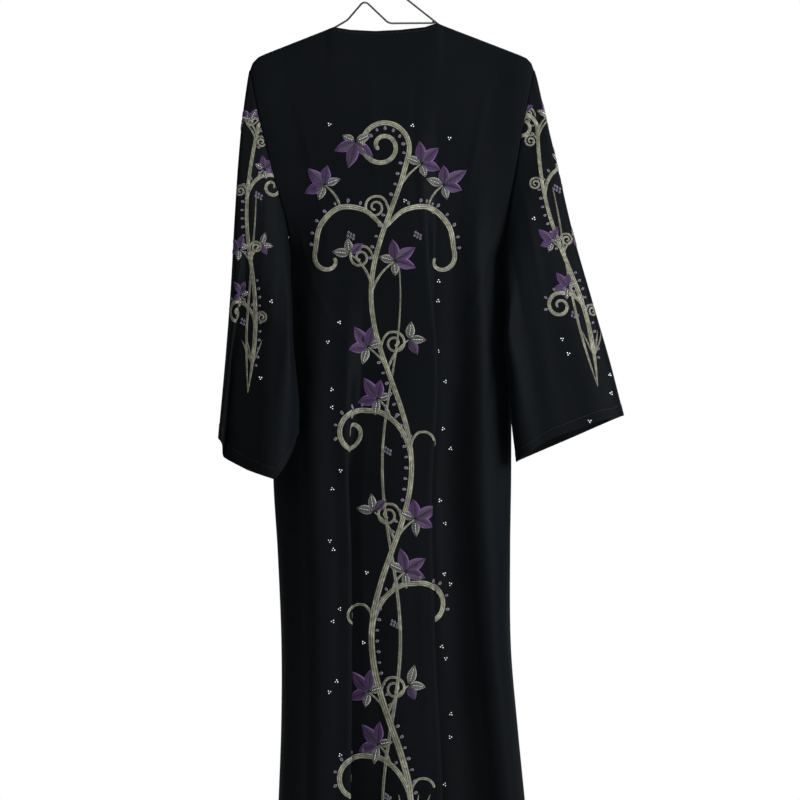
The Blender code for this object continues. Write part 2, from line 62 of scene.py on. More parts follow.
def soft_lamp(name, place, aim, size, watts, colour):
    lamp = bpy.data.lights.new(name, "AREA")
    lamp.shape = "RECTANGLE"
    lamp.size, lamp.size_y = size
    lamp.energy = watts
    lamp.color = colour
    hung = bpy.data.objects.new(name, lamp)
    bpy.context.scene.collection.objects.link(hung)
    hung.location = place
    away = np.subtract(place, aim)
    hung.rotation_euler = (
        math.atan2(math.hypot(away[0], away[1]), away[2]), 0,
        math.atan2(away[0], -away[1]),
    )
    hung.visible_camera = False
    return hung


soft_lamp("lamp_right", (1.9, -1.5, 0.1), (0.0, 0.0, -0.6), (0.9, 1.5), 100, (0.97, 0.99, 1.0))
soft_lamp("lamp_left", (-2.6, -2.6, 0.4), (0.0, 0.0, -0.8), (1.4, 2.2), 18, (0.94, 0.98, 1.0))
soft_lamp("lamp_above", (0.4, -1.4, 2.0), (0.0, 0.0, -0.6), (1.6, 1.2), 24, (1.0, 1.0, 1.0))
soft_lamp("lamp_front", (0.6, 3.2, 0.8), (0.0, 0.0, -0.7), (2.4, 1.8), 90, (1.0, 1.0, 1.0))
# The air round the cloak is white to the camera but lights the cloth only softly.
room = bpy.data.worlds.new("pale_room")
bpy.context.scene.world = room
room.use_nodes = True
air, air_links = room.node_tree.nodes, room.node_tree.links
soft_light = air["Background"]
soft_light.inputs["Color"].default_value = (0.93, 0.96, 1.0, 1)
soft_light.inputs["Strength"].default_value = 0.22
white_air = air.new("ShaderNodeBackground")
white_air.inputs["Color"].default_value = (1.0, 1.0, 1.0, 1)
white_air.inputs["Strength"].default_value = 1.0
seen = air.new("ShaderNodeLightPath")
either = air.new("ShaderNodeMixShader")
air_links.new(seen.outputs["Is Camera Ray"], either.inputs["Fac"])
air_links.new(soft_light.outputs["Background"], either.inputs[1])
air_links.new(white_air.outputs["Background"], either.inputs[2])
air_links.new(either.outputs["Shader"], air["World Output"].inputs["Surface"])


def pale_paint():
    paint = bpy.data.materials.new("pale_paint")
    paint.use_nodes = True
    nodes, links = paint.node_tree.nodes, paint.node_tree.links
    shader = nodes["Principled BSDF"]
    shader.inputs["Roughness"].default_value = 0.9
    place = nodes.new("ShaderNodeTexCoord")
    mottle = nodes.new("ShaderNodeTexNoise")
    mottle.inputs["Scale"].default_value = 3.0
    shade = nodes.new("ShaderNodeValToRGB")
    shade.color_ramp.elements[0].color = (0.86, 0.865, 0.87, 1)
    shade.color_ramp.elements[1].color = (0.90, 0.90, 0.90, 1)
    links.new(place.outputs["Object"], mottle.inputs["Vector"])
    links.new(mottle.outputs["Fac"], shade.inputs["Fac"])
    links.new(shade.outputs["Color"], shader.inputs["Base Color"])
    return paint


FLOOR_DROP = 1.75
FLOOR_REACH = 3.2
FLOOR_SIDES = 96
floor_turn = np.linspace(0, 2 * math.pi, FLOOR_SIDES, endpoint=False)
floor_mesh = bpy.data.meshes.new("pale_floor")
floor_mesh.from_pydata([(FLOOR_REACH * math.cos(t), FLOOR_REACH * math.sin(t), -FLOOR_DROP)
                        for t in floor_turn],
                       [], [list(range(FLOOR_SIDES))])
floor = bpy.data.objects.new("pale_floor", floor_mesh)
bpy.context.scene.collection.objects.link(floor)
floor.data.materials.append(pale_paint())

# One length of 3.2 mm steel wire, bent into a hook, a shank and two arms and closed with a
# twist at the neck. It is coated in dark grey, worn thin and shiny where the hook rides a rail.


def node_maker(material):
    """Returns a call that adds a node with its sockets set, and one that joins two sockets."""
    nodes, links = material.node_tree.nodes, material.node_tree.links

    def add(kind, **sockets):
        made = nodes.new("ShaderNode" + kind)
        for name, value in sockets.items():
            made.inputs[name.replace("_", " ")].default_value = value
        return made

    def join(out_node, out_name, in_node, in_name):
        links.new(out_node.outputs[out_name], in_node.inputs[in_name])

    return add, join, nodes["Principled BSDF"]


def ramp(add, stops):
    """A colour ramp with its stops as (place, colour)."""
    made = add("ValToRGB")
    line = made.color_ramp
    line.elements[0].position, line.elements[0].color = stops[0][0], (*stops[0][1], 1)
    line.elements[1].position, line.elements[1].color = stops[-1][0], (*stops[-1][1], 1)
    for place, colour in stops[1:-1]:
        line.elements.new(place).color = (*colour, 1)
    return made


coated_wire = bpy.data.materials.new("coated_wire")
coated_wire.use_nodes = True
add, join, shader = node_maker(coated_wire)
shader.inputs["Metallic"].default_value = 0.35
shader.inputs["Coat Weight"].default_value = 0.25
place = add("TexCoord")
worn = add("TexNoise", Scale=160.0, Detail=6.0, Roughness=0.7)
drawn = add("TexNoise", Scale=900.0, Detail=2.0)
colour = ramp(add, ((0.35, (0.020, 0.020, 0.022)), (0.6, (0.035, 0.035, 0.038)), (0.8, (0.09, 0.09, 0.095))))
gloss = add("MapRange", From_Min=0.3, From_Max=0.7, To_Min=0.24, To_Max=0.5)
relief = add("Bump", Strength=0.35, Distance=0.0001)
join(place, "Object", worn, "Vector")
join(place, "Object", drawn, "Vector")
join(worn, "Fac", colour, "Fac")
join(colour, "Color", shader, "Base Color")
join(worn, "Fac", gloss, "Value")
join(gloss, "Result", shader, "Roughness")
join(drawn, "Fac", relief, "Height")
join(relief, "Normal", shader, "Normal")
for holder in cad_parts["hanger"].material_slots:
    holder.material = coated_wire

# The back is one wide piece of black crepe. It hangs from the hanger's arms at the shoulder
# seams and falls in two deep knife folds and some soft ones that the hanging weight makes.
CLOTH_THICK = 0.0008
WALL = 0.0015
SEAM_GAP = 0.0003
WIRE_RADIUS = 0.0016
TIP_DROP = 0.210
UNDERARM_DEPTH = 0.262
HEM_DEPTH = 1.350
OVER_WIRE = WIRE_RADIUS + 2 * SEAM_GAP + WALL / 2
Level = namedtuple("Level", "depth left right turn back_lean front_lean front_out")
LEVELS = (
    Level(0.000, -0.2215, 0.2275, 0.000, 0.0, 0.0, 0.0045),
    Level(0.060, -0.2100, 0.2150, 0.000, 2.0, 1.5, 0.0120),
    Level(0.168, -0.1835, 0.1965, 0.000, 6.0, 4.0, 0.0200),
    Level(0.262, -0.1600, 0.1835, 0.004, 8.0, 6.0, 0.0280),
    Level(0.350, -0.1715, 0.1870, 0.016, 8.5, 6.0, 0.0320),
    Level(0.490, -0.1800, 0.1905, 0.026, 9.5, 7.0, 0.0370),
    Level(0.640, -0.1840, 0.1905, 0.036, 10.0, 8.0, 0.0420),
    Level(0.760, -0.1765, 0.1880, 0.052, 11.0, 8.0, 0.0450),
    Level(0.920, -0.1700, 0.1890, 0.066, 11.0, 9.0, 0.0480),
    Level(1.040, -0.1705, 0.1990, 0.070, 11.0, 9.0, 0.0500),
    Level(1.150, -0.1740, 0.2090, 0.072, 12.0, 9.0, 0.0520),
    Level(1.350, -0.1820, 0.2260, 0.074, 12.0, 10.0, 0.0560),
)
TopPoint = namedtuple("TopPoint", "x drop")
TOP_LINE = (
    TopPoint(-0.2215, 0.2100), TopPoint(-0.2175, 0.1985), TopPoint(-0.2085, 0.1890),
    TopPoint(-0.1980, 0.1840), TopPoint(-0.0895, 0.1412), TopPoint(-0.0630, 0.1455),
    TopPoint(-0.0235, 0.1475), TopPoint(0.0160, 0.1455), TopPoint(0.0550, 0.1412),
    TopPoint(0.0740, 0.1350), TopPoint(0.2050, 0.1855), TopPoint(0.2160, 0.1905),
    TopPoint(0.2235, 0.1985), TopPoint(0.2275, 0.2100),
)
NECK_LEFT = -0.0895
NECK_RIGHT = 0.0740
NECK_EASE = 0.0140
NECK_OUT = 0.0045
NECK_SETTLES = 0.080
RISE_ENDS = 0.230
Knife = namedtuple("Knife", "at_top at_hem hold angle starts full")
Ripple = namedtuple("Ripple", "at_top at_hem width slope starts full")
KNIFE_EDGE = 0.0095
BACK_KNIVES = (
    Knife(0.330, 0.285, 0.052, 158, 0.30, 0.80),
    Knife(0.650, 0.622, 0.052, 158, 0.06, 0.55),
)
BACK_RIPPLES = (
    Ripple(0.090, 0.100, 0.030, -26, 0.15, 0.75),
    Ripple(0.175, 0.170, 0.036, 20, 0.10, 0.70),
    Ripple(0.510, 0.480, 0.050, 10, 0.30, 1.10),
    Ripple(0.760, 0.770, 0.034, -14, 0.10, 0.60),
    Ripple(0.860, 0.870, 0.036, 24, 0.05, 0.50),
)
# Small creases pressed into the crepe: each runs from one place to the other, as a
# share of the panel's width and a depth, and stands out by height, or sinks in below nought.
Crease = namedtuple("Crease", "u_from depth_from u_to depth_to bow width height")
BACK_CREASES = (
    Crease(0.035, 0.235, 0.260, 0.420, -0.02, 0.010, 0.0012),
    Crease(0.050, 0.262, 0.200, 0.560, -0.03, 0.012, -0.0012),
    Crease(0.960, 0.225, 0.760, 0.430, 0.02, 0.011, 0.0014),
    Crease(0.970, 0.270, 0.840, 0.620, 0.02, 0.012, -0.0013),
    Crease(0.930, 0.300, 0.890, 0.780, 0.01, 0.013, 0.0012),
    Crease(0.120, 0.040, 0.180, 0.300, 0.01, 0.014, 0.0008),
    Crease(0.880, 0.030, 0.800, 0.260, -0.01, 0.014, 0.0009),
    Crease(0.420, 0.030, 0.410, 0.240, 0.005, 0.016, 0.0006),
    Crease(0.590, 0.035, 0.585, 0.300, -0.005, 0.016, -0.0006),
    Crease(0.380, 0.520, 0.395, 1.050, 0.010, 0.012, 0.0010),
    Crease(0.450, 0.800, 0.430, 1.330, -0.010, 0.012, -0.0010),
    Crease(0.560, 0.650, 0.550, 1.200, 0.010, 0.013, 0.0010),
    Crease(0.730, 0.500, 0.720, 0.980, -0.008, 0.010, 0.0009),
    Crease(0.810, 0.700, 0.820, 1.300, 0.008, 0.013, -0.0012),
    Crease(0.915, 0.820, 0.940, 1.330, 0.006, 0.014, 0.0014),
    Crease(0.225, 0.600, 0.215, 1.150, -0.006, 0.010, 0.0010),
    Crease(0.055, 0.620, 0.060, 1.200, 0.004, 0.012, 0.0012),
    Crease(0.135, 0.850, 0.140, 1.340, -0.006, 0.012, -0.0010),
)
FINE = 1200
fine_u = np.linspace(0, 1, FINE)


def smooth_step(low, high, value):
    share = np.clip((value - low) / (high - low), 0.0, 1.0)
    return share * share * (3 - 2 * share)


def column(table, name):
    return np.array([getattr(row, name) for row in table])


def through(knots, values, at):
    """A smooth curve through the knots, level with the chord of each knot's two neighbours."""
    slopes = np.gradient(values, knots)
    at = np.clip(at, knots[0], knots[-1])
    left = np.clip(np.searchsorted(knots, at, side="right") - 1, 0, len(knots) - 2)
    span = knots[left + 1] - knots[left]
    t = (at - knots[left]) / span
    return (
        values[left] * (1 + 2 * t) * (1 - t) ** 2
        + slopes[left] * span * t * (1 - t) ** 2
        + values[left + 1] * t * t * (3 - 2 * t)
        + slopes[left + 1] * span * t * t * (t - 1)
    )


def level(name, depth):
    return through(column(LEVELS, "depth"), column(LEVELS, name), depth)


def fold_heading(progress, run, knives, ripples):
    """The heading in degrees that the folds add, one row for each progress down the piece."""
    progress = progress[:, None]
    heading = np.zeros((len(progress), FINE))
    for fold in knives:
        grown = smooth_step(fold.starts, fold.full, progress)
        at = fold.at_top + (fold.at_hem - fold.at_top) * progress / run
        before = np.tanh((fine_u - at + fold.hold / 2) / KNIFE_EDGE)
        after = np.tanh((fine_u - at - fold.hold / 2) / KNIFE_EDGE)
        heading -= grown * fold.angle * (before - after) / 2
    for fold in ripples:
        grown = smooth_step(fold.starts, fold.full, progress)
        at = fold.at_top + (fold.at_hem - fold.at_top) * progress / run
        away = (fine_u - at) / fold.width
        heading -= grown * fold.slope * away * np.exp((1 - away**2) / 2)
    return heading


def cross_sections(width, ends_out, turns, lean, folds):
    """Level lines of the cloth as (along, out), one row each and equal lengths of it apart."""
    heading = np.reshape(lean, (-1, 1)) * (1 - 2 * fine_u) + folds
    for turn, from_edge, way in ((turns[0], fine_u, 90), (turns[1], 1 - fine_u, -90)):
        turn = np.reshape(turn, (-1, 1)) * np.ones((len(folds), 1))
        reach = np.maximum(2 * turn, 1e-9)
        heading += way * (1 - smooth_step(0, reach, from_edge)) * (turn > 0)
    heading = np.radians((heading[:, 1:] + heading[:, :-1]) / 2)
    start = np.zeros((len(folds), 1))
    along = np.hstack([start, np.cumsum(np.cos(heading), axis=1)])
    out = np.hstack([start, np.cumsum(np.sin(heading), axis=1)])
    scale = (np.reshape(width, (-1, 1)) / along[:, -1:])
    along, out = along * scale, out * scale
    first, last = np.reshape(ends_out[0], (-1, 1)), np.reshape(ends_out[1], (-1, 1))
    return along, first + out + (last - first - out[:, -1:]) * along / along[:, -1:]


ARMHOLE_OUT = 0.0110
ARCH_SHAPE = 0.6
ARCH_BOTTOM = 12
UNDERARM_OUT = 0.0028
UNDERARM_CLOSES = 0.040
SEAM_MEETS = 0.00002
SEAM_FORWARD = 0.010
MIDDLE_OUT = 0.0105
MIDDLE_FULL = 0.150
EDGE_REACH = 0.140


def over_wire_out(depth):
    """How far the cloth's curl over the wire stands out just below the shoulder seam."""
    return np.sqrt(np.maximum(OVER_WIRE**2 - (OVER_WIRE - np.minimum(depth, OVER_WIRE)) ** 2, 0))


def seam_out(depth):
    """How far a panel's side edge stands out: round the armhole, then at the side seam."""
    share = np.clip(depth / UNDERARM_DEPTH, 0, 1)
    arch = ARMHOLE_OUT * np.maximum(np.sin(math.pi * share), 0) ** ARCH_SHAPE
    bottom = share**ARCH_BOTTOM
    armhole = (over_wire_out(depth) + arch) * np.sqrt(np.maximum(1 - bottom, 0)) + UNDERARM_OUT * bottom
    closed = smooth_step(0, UNDERARM_CLOSES, depth - UNDERARM_DEPTH)
    side = UNDERARM_OUT + (SEAM_MEETS - UNDERARM_OUT) * closed
    return np.where(depth > UNDERARM_DEPTH, side, np.maximum(armhole, SEAM_MEETS))


def near_edge(both):
    """1 at a panel's side edge or edges, fading to 0 within the panel."""
    return 1 - smooth_step(0, EDGE_REACH, np.minimum(fine_u, 1 - fine_u) if both else fine_u)


def top_drop(x):
    return np.interp(x, column(TOP_LINE, "x"), column(TOP_LINE, "drop"))


def crease_out(depth, creases, run):
    """How far the small creases stand out of the cloth, fading at their two ends."""
    out = np.zeros((len(depth), FINE))
    for crease in creases:
        along = (depth - crease.depth_from) / (crease.depth_to - crease.depth_from)
        fade = np.sin(math.pi * np.clip(along, 0, 1)) ** 0.8
        at = crease.u_from + (crease.u_to - crease.u_from) * along + crease.bow * fade
        away = (fine_u - at[:, None]) / crease.width
        out += crease.height * fade[:, None] * np.exp(-away**2)
    return out


def body_rows(depth, x_ends, far_out, turns, lean, folds, top_of, top_ends, toward, creases):
    """A body panel as rows of points. toward is -1 for the back and +1 for a front."""
    middle = over_wire_out(depth)
    middle = middle + (MIDDLE_OUT - middle) * smooth_step(0, MIDDLE_FULL, depth)
    ends_out = (middle, middle if far_out is None else far_out)
    way = np.sign(x_ends[1] - x_ends[0])[:, None]
    along, out = cross_sections(np.abs(x_ends[1] - x_ends[0]), ends_out, turns, lean, folds)
    out = out + (seam_out(depth) - middle)[:, None] * near_edge(far_out is None)
    x = x_ends[0][:, None] + way * along
    settled = smooth_step(0, NECK_SETTLES, depth)
    neck = smooth_step(NECK_LEFT - NECK_EASE, NECK_LEFT, x) * (
        1 - smooth_step(NECK_RIGHT, NECK_RIGHT + NECK_EASE, x))
    out = out + (NECK_OUT - over_wire_out(depth))[:, None] * neck * (1 - settled)[:, None]
    top = top_of(top_ends[0] + (top_ends[1] - top_ends[0]) * fine_u)
    rise = (TIP_DROP - top) * (1 - smooth_step(0, RISE_ENDS, depth))[:, None]
    closed = smooth_step(0, UNDERARM_CLOSES, depth - UNDERARM_DEPTH)[:, None]
    forward = SEAM_FORWARD * closed * near_edge(far_out is None)
    points = np.stack([x, toward * out + forward, -(TIP_DROP + depth[:, None] - rise)], axis=2)
    return raised(points, crease_out(depth, creases, HEM_DEPTH) + hem_height(depth), toward * way[0, 0])


def normals_of(points, facing):
    """The outward direction of the cloth at each point of a grid."""
    across = np.gradient(points, axis=1)
    down = np.gradient(points, axis=0)
    out = np.cross(across, down) * facing
    return out / np.maximum(np.linalg.norm(out, axis=2, keepdims=True), 1e-12)


def raised(points, height, facing):
    return points + normals_of(points, facing) * height[:, :, None]


def hem_height(depth):
    """The hem is turned up inside, which holds its cloth out a little."""
    return HEM_PROUD * smooth_step(HEM_DEPTH - 0.0200, HEM_DEPTH - 0.0180, depth)[:, None] * np.ones(FINE)


HEM_PROUD = 0.0005
curl_rows = (0.0, 0.3 * OVER_WIRE, 0.65 * OVER_WIRE, OVER_WIRE, 0.0045, 0.0065, 0.0090)
hem_rows = HEM_DEPTH - np.array([0.024, 0.0205, 0.0195, 0.0185, 0.0175, 0.0120, 0.0050, 0.0015, 0.0])
body_depths = np.concatenate([curl_rows, np.arange(0.014, HEM_DEPTH - 0.03, 0.0078), hem_rows])
back_turn = level("turn", body_depths)
back_grid = body_rows(
    body_depths, (level("left", body_depths), level("right", body_depths)), None,
    (back_turn, back_turn), level("back_lean", body_depths),
    fold_heading(body_depths, HEM_DEPTH, BACK_KNIVES, BACK_RIPPLES),
    top_drop, (LEVELS[0].left, LEVELS[0].right), -1, BACK_CREASES,
)


def crowded(count, knives, turns):
    """Where the columns of a piece lie, closest together where its cloth turns most."""
    crowd = np.ones(FINE)
    for fold in knives:
        middle = (fold.at_top + fold.at_hem) / 2
        reach = fold.hold / 2 + abs(fold.at_hem - fold.at_top) / 2 + 2 * KNIFE_EDGE
        crowd += 2.2 * np.exp(-(((fine_u - middle) / reach) ** 4))
    for turn, end in zip(turns, (0, 1)):
        if turn > 0:
            crowd += 1.2 * np.exp(-(((fine_u - end) / turn) ** 2))
    total = np.concatenate([[0], np.cumsum((crowd[1:] + crowd[:-1]) / 2)])
    return np.interp(np.linspace(0, total[-1], count + 1), total, fine_u)


def picked(grid, u):
    """The chosen shares of every row of a fine grid."""
    at = u * (FINE - 1)
    low = np.minimum(at.astype(int), FINE - 2)
    part = (at - low)[:, None]
    return grid[:, low] * (1 - part) + grid[:, low + 1] * part


def cut_cloth(name, grid, closed, flip, weave):
    """A sheet of cloth through a grid of points, as thick as the crepe and closed all round."""
    rows, columns = grid.shape[:2]
    count = columns if closed else columns - 1
    i, j = np.meshgrid(np.arange(rows - 1), np.arange(count), indexing="ij")
    k = (j + 1) % columns
    quads = np.stack([i * columns + j, (i + 1) * columns + j, (i + 1) * columns + k,
                      i * columns + k], axis=2).reshape(-1, 4)
    mesh = bpy.data.meshes.new(name)
    mesh.from_pydata(grid.reshape(-1, 3).tolist(), [], (quads[:, ::-1] if flip else quads).tolist())
    mesh.polygons.foreach_set("use_smooth", np.ones(len(mesh.polygons), bool))
    piece = bpy.data.objects.new(name, mesh)
    bpy.context.scene.collection.objects.link(piece)
    mesh.materials.append(weave)
    wall = piece.modifiers.new("thickness", "SOLIDIFY")
    wall.thickness = CLOTH_THICK
    wall.offset = 0
    return piece


crepe = bpy.data.materials.new("black_crepe")
crepe.use_nodes = True
add, join, shader = node_maker(crepe)
shader.inputs["Sheen Weight"].default_value = 0.014
shader.inputs["Sheen Roughness"].default_value = 0.35
shader.inputs["Sheen Tint"].default_value = (0.70, 0.76, 0.85, 1)
shader.inputs["Specular IOR Level"].default_value = 0.04
place = add("TexCoord")
dye = add("TexNoise", Scale=7.0, Detail=4.0, Roughness=0.6)
pebble = add("TexNoise", Scale=1500.0, Detail=2.0, Roughness=0.55)
warp = add("TexWave", Scale=420.0, Distortion=1.2, Detail=1.0)
weft = add("TexWave", Scale=420.0, Distortion=1.2, Detail=1.0)
warp.bands_direction, weft.bands_direction = "X", "Z"
colour = ramp(add, ((0.3, (0.0016, 0.0024, 0.0032)), (0.7, (0.0028, 0.0036, 0.0045))))
fleck = add("Mix")
fleck.data_type = "RGBA"
fleck.blend_type = "MULTIPLY"
fleck.inputs["Factor"].default_value = 0.5
thread = ramp(add, ((0.35, (0.55, 0.55, 0.58)), (0.65, (1.0, 1.0, 1.0))))
weave_height = add("Math")
weave_height.operation = "ADD"
grain_height = add("Math")
grain_height.operation = "ADD"
gloss = add("MapRange", From_Min=0.3, From_Max=0.7, To_Min=0.56, To_Max=0.70)
relief = add("Bump", Strength=0.30, Distance=0.00022)
for texture in (dye, pebble, warp, weft):
    join(place, "Object", texture, "Vector")
join(dye, "Fac", colour, "Fac")
join(pebble, "Fac", thread, "Fac")
crepe.node_tree.links.new(colour.outputs["Color"], fleck.inputs[6])
crepe.node_tree.links.new(thread.outputs["Color"], fleck.inputs[7])
crepe.node_tree.links.new(fleck.outputs[2], shader.inputs["Base Color"])
crepe.node_tree.links.new(warp.outputs["Fac"], weave_height.inputs[0])
crepe.node_tree.links.new(weft.outputs["Fac"], weave_height.inputs[1])
crepe.node_tree.links.new(weave_height.outputs[0], grain_height.inputs[0])
crepe.node_tree.links.new(pebble.outputs["Fac"], grain_height.inputs[1])
join(dye, "Fac", gloss, "Value")
join(gloss, "Result", shader, "Roughness")
join(grain_height, "Value", relief, "Height")
join(relief, "Normal", shader, "Normal")


def hang(piece, node):
    """The piece stands for the plain solid of its cloth and moves with the whole cloak."""
    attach(piece, "root")
    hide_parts(node)


side_turn = LEVELS[-1].turn
back = cut_cloth("back_panel", picked(back_grid, crowded(176, BACK_KNIVES, (side_turn, side_turn))),
                 False, False, crepe)
hang(back, "back")

# Each front is cut alone, from the side seam to the open centre-front edge. The necklines fall
# from the shoulder seams to the top of the opening, and the edges hang a little apart.
FRONT_NECK_DROP = 0.262
FRONT_GAP = 0.012
FRONT_SPREAD = 0.010
NECKLINE_CURVE = 1.7
LEFT_FRONT_KNIVES = (Knife(0.560, 0.520, 0.055, 150, 0.30, 0.95),)
LEFT_FRONT_RIPPLES = (
    Ripple(0.200, 0.220, 0.060, -22, 0.20, 0.80),
    Ripple(0.350, 0.330, 0.060, 20, 0.15, 0.80),
    Ripple(0.830, 0.820, 0.070, 16, 0.20, 0.90),
)
RIGHT_FRONT_KNIVES = (Knife(0.480, 0.460, 0.055, 150, 0.25, 0.85),)
RIGHT_FRONT_RIPPLES = (
    Ripple(0.220, 0.200, 0.065, -20, 0.25, 0.85),
    Ripple(0.700, 0.680, 0.055, -16, 0.25, 0.90),
    Ripple(0.850, 0.850, 0.060, 18, 0.20, 0.80),
)
LEFT_FRONT_CREASES = (
    Crease(0.060, 0.240, 0.400, 0.480, -0.03, 0.022, 0.0013),
    Crease(0.080, 0.270, 0.300, 0.620, -0.03, 0.024, -0.0012),
    Crease(0.300, 0.040, 0.330, 0.300, 0.01, 0.028, 0.0009),
    Crease(0.700, 0.110, 0.680, 0.560, 0.02, 0.026, 0.0010),
    Crease(0.430, 0.620, 0.420, 1.250, -0.01, 0.024, 0.0011),
    Crease(0.720, 0.700, 0.735, 1.330, 0.015, 0.024, -0.0012),
)
RIGHT_FRONT_CREASES = (
    Crease(0.055, 0.235, 0.360, 0.460, -0.03, 0.022, 0.0014),
    Crease(0.090, 0.280, 0.240, 0.650, -0.02, 0.024, -0.0013),
    Crease(0.340, 0.050, 0.310, 0.330, -0.01, 0.028, 0.0009),
    Crease(0.620, 0.120, 0.640, 0.640, -0.02, 0.026, -0.0010),
    Crease(0.350, 0.560, 0.345, 1.180, 0.01, 0.022, 0.0012),
    Crease(0.780, 0.760, 0.765, 1.330, -0.015, 0.024, 0.0010),
)


def front_top_drop(x):
    """The shoulder seam, then a neckline that falls to the centre front."""
    neck = np.where(x < 0, NECK_LEFT, NECK_RIGHT)
    share = np.clip(x / neck, 0, 1)
    neckline = top_drop(neck) + (FRONT_NECK_DROP - top_drop(neck)) * (1 - share**NECKLINE_CURVE)
    return np.where(share < 1, neckline, top_drop(x))


def front_grid(side, knives, ripples, creases):
    """A front from the side seam to the centre-front edge. side is -1 for the left one."""
    name = "left" if side < 0 else "right"
    edge_top = side * FRONT_GAP / 2
    edge = edge_top + side * FRONT_SPREAD * body_depths
    return body_rows(
        body_depths, (level(name, body_depths), edge), level("front_out", body_depths),
        (level("turn", body_depths), 0), level("front_lean", body_depths),
        fold_heading(body_depths, HEM_DEPTH, knives, ripples),
        front_top_drop, (getattr(LEVELS[0], name), edge_top), +1, creases,
    )


left_front_grid = front_grid(-1, LEFT_FRONT_KNIVES, LEFT_FRONT_RIPPLES, LEFT_FRONT_CREASES)
right_front_grid = front_grid(+1, RIGHT_FRONT_KNIVES, RIGHT_FRONT_RIPPLES, RIGHT_FRONT_CREASES)
front_left = cut_cloth("left_front", picked(left_front_grid, crowded(96, LEFT_FRONT_KNIVES, (side_turn, 0))),
                       False, True, crepe)
front_right = cut_cloth("right_front",
                        picked(right_front_grid, crowded(96, RIGHT_FRONT_KNIVES, (side_turn, 0))),
                        False, False, crepe)
hang(front_left, "front_left")
hang(front_right, "front_right")

# Each sleeve is one wide piece, seamed under the arm and set into the armhole. It hangs flat
# from the shoulder tip and widens to an open cuff; the left one has dropped into a long fold.
Ring = namedtuple("Ring", "share outer_x outer_drop outer_y inner_x inner_drop inner_y"
                          " back front dip")
LEFT_RINGS = (
    Ring(0.00, -0.2225, 0.210, 0.000, -0.1620, 0.472, 0.000, 0.010, 0.006, 0.000),
    Ring(0.05, -0.2250, 0.224, -0.001, -0.1585, 0.496, -0.005, 0.010, 0.006, 0.000),
    Ring(0.14, -0.2320, 0.275, -0.003, -0.1575, 0.532, -0.018, 0.011, 0.006, 0.000),
    Ring(0.28, -0.2390, 0.350, -0.006, -0.1545, 0.580, -0.031, 0.014, 0.007, 0.000),
    Ring(0.45, -0.2450, 0.450, -0.010, -0.1530, 0.635, -0.042, 0.018, 0.008, 0.005),
    Ring(0.65, -0.2500, 0.560, -0.015, -0.1480, 0.690, -0.048, 0.024, 0.010, 0.025),
    Ring(0.85, -0.2580, 0.690, -0.020, -0.1440, 0.745, -0.050, 0.030, 0.012, 0.050),
    Ring(1.00, -0.2655, 0.784, -0.024, -0.1450, 0.785, -0.052, 0.034, 0.014, 0.070),
)
RIGHT_RINGS = (
    Ring(0.00, 0.2285, 0.210, 0.000, 0.1855, 0.472, 0.000, 0.010, 0.006, 0.000),
    Ring(0.05, 0.2320, 0.222, -0.001, 0.1800, 0.500, -0.005, 0.010, 0.010, 0.000),
    Ring(0.14, 0.2415, 0.264, -0.002, 0.1805, 0.535, -0.013, 0.012, 0.011, 0.000),
    Ring(0.28, 0.2605, 0.345, -0.004, 0.1840, 0.584, -0.024, 0.014, 0.011, 0.000),
    Ring(0.45, 0.2860, 0.458, -0.006, 0.1800, 0.640, -0.032, 0.015, 0.010, 0.000),
    Ring(0.65, 0.3170, 0.570, -0.008, 0.1870, 0.695, -0.034, 0.018, 0.012, -0.004),
    Ring(0.85, 0.3470, 0.675, -0.010, 0.1920, 0.765, -0.034, 0.022, 0.016, -0.010),
    Ring(1.00, 0.3675, 0.756, -0.012, 0.2000, 0.828, -0.034, 0.026, 0.020, -0.014),
)
LEFT_SLEEVE_KNIVES = (Knife(0.230, 0.230, 0.060, 150, 0.40, 0.80),)
LEFT_SLEEVE_RIPPLES = (Ripple(0.640, 0.620, 0.110, 10, 0.15, 0.90),)
RIGHT_SLEEVE_RIPPLES = (
    Ripple(0.300, 0.300, 0.090, 9, 0.20, 0.90),
    Ripple(0.720, 0.760, 0.080, -10, 0.15, 0.80),
)
SLEEVE_FRONT_RIPPLES = (Ripple(0.480, 0.480, 0.110, -14, 0.20, 0.90),)
SLEEVE_CREASES = (
    Crease(0.180, 0.020, 0.300, 0.450, 0.02, 0.045, 0.0009),
    Crease(0.550, 0.050, 0.480, 0.600, -0.02, 0.050, 0.0010),
    Crease(0.820, 0.060, 0.700, 0.520, 0.02, 0.045, -0.0010),
    Crease(0.900, 0.100, 0.880, 0.800, 0.01, 0.040, 0.0009),
    Crease(0.500, 0.550, 0.540, 0.990, 0.02, 0.050, -0.0008),
)
DIP_PLACES = (0.0, 0.19, 0.265, 0.48, 0.70, 1.0)
DIP_SHARES = (0.0, 0.13, 0.52, 0.80, 1.0, 0.0)
SLEEVE_TURN = 1.2
ARMHOLE_SETTLES = 0.22
ARMHOLE_GAP = SEAM_GAP + WALL / 2
UNDERARM_GAP = 0.0020
UNDERARM_GAP_SHAPE = 8
ARMHOLE_DEPTHS = (
    0.0, 0.37 * OVER_WIRE, OVER_WIRE, 0.014, 0.042, 0.085, 0.135, 0.185, 0.228, 0.250,
    UNDERARM_DEPTH,
)


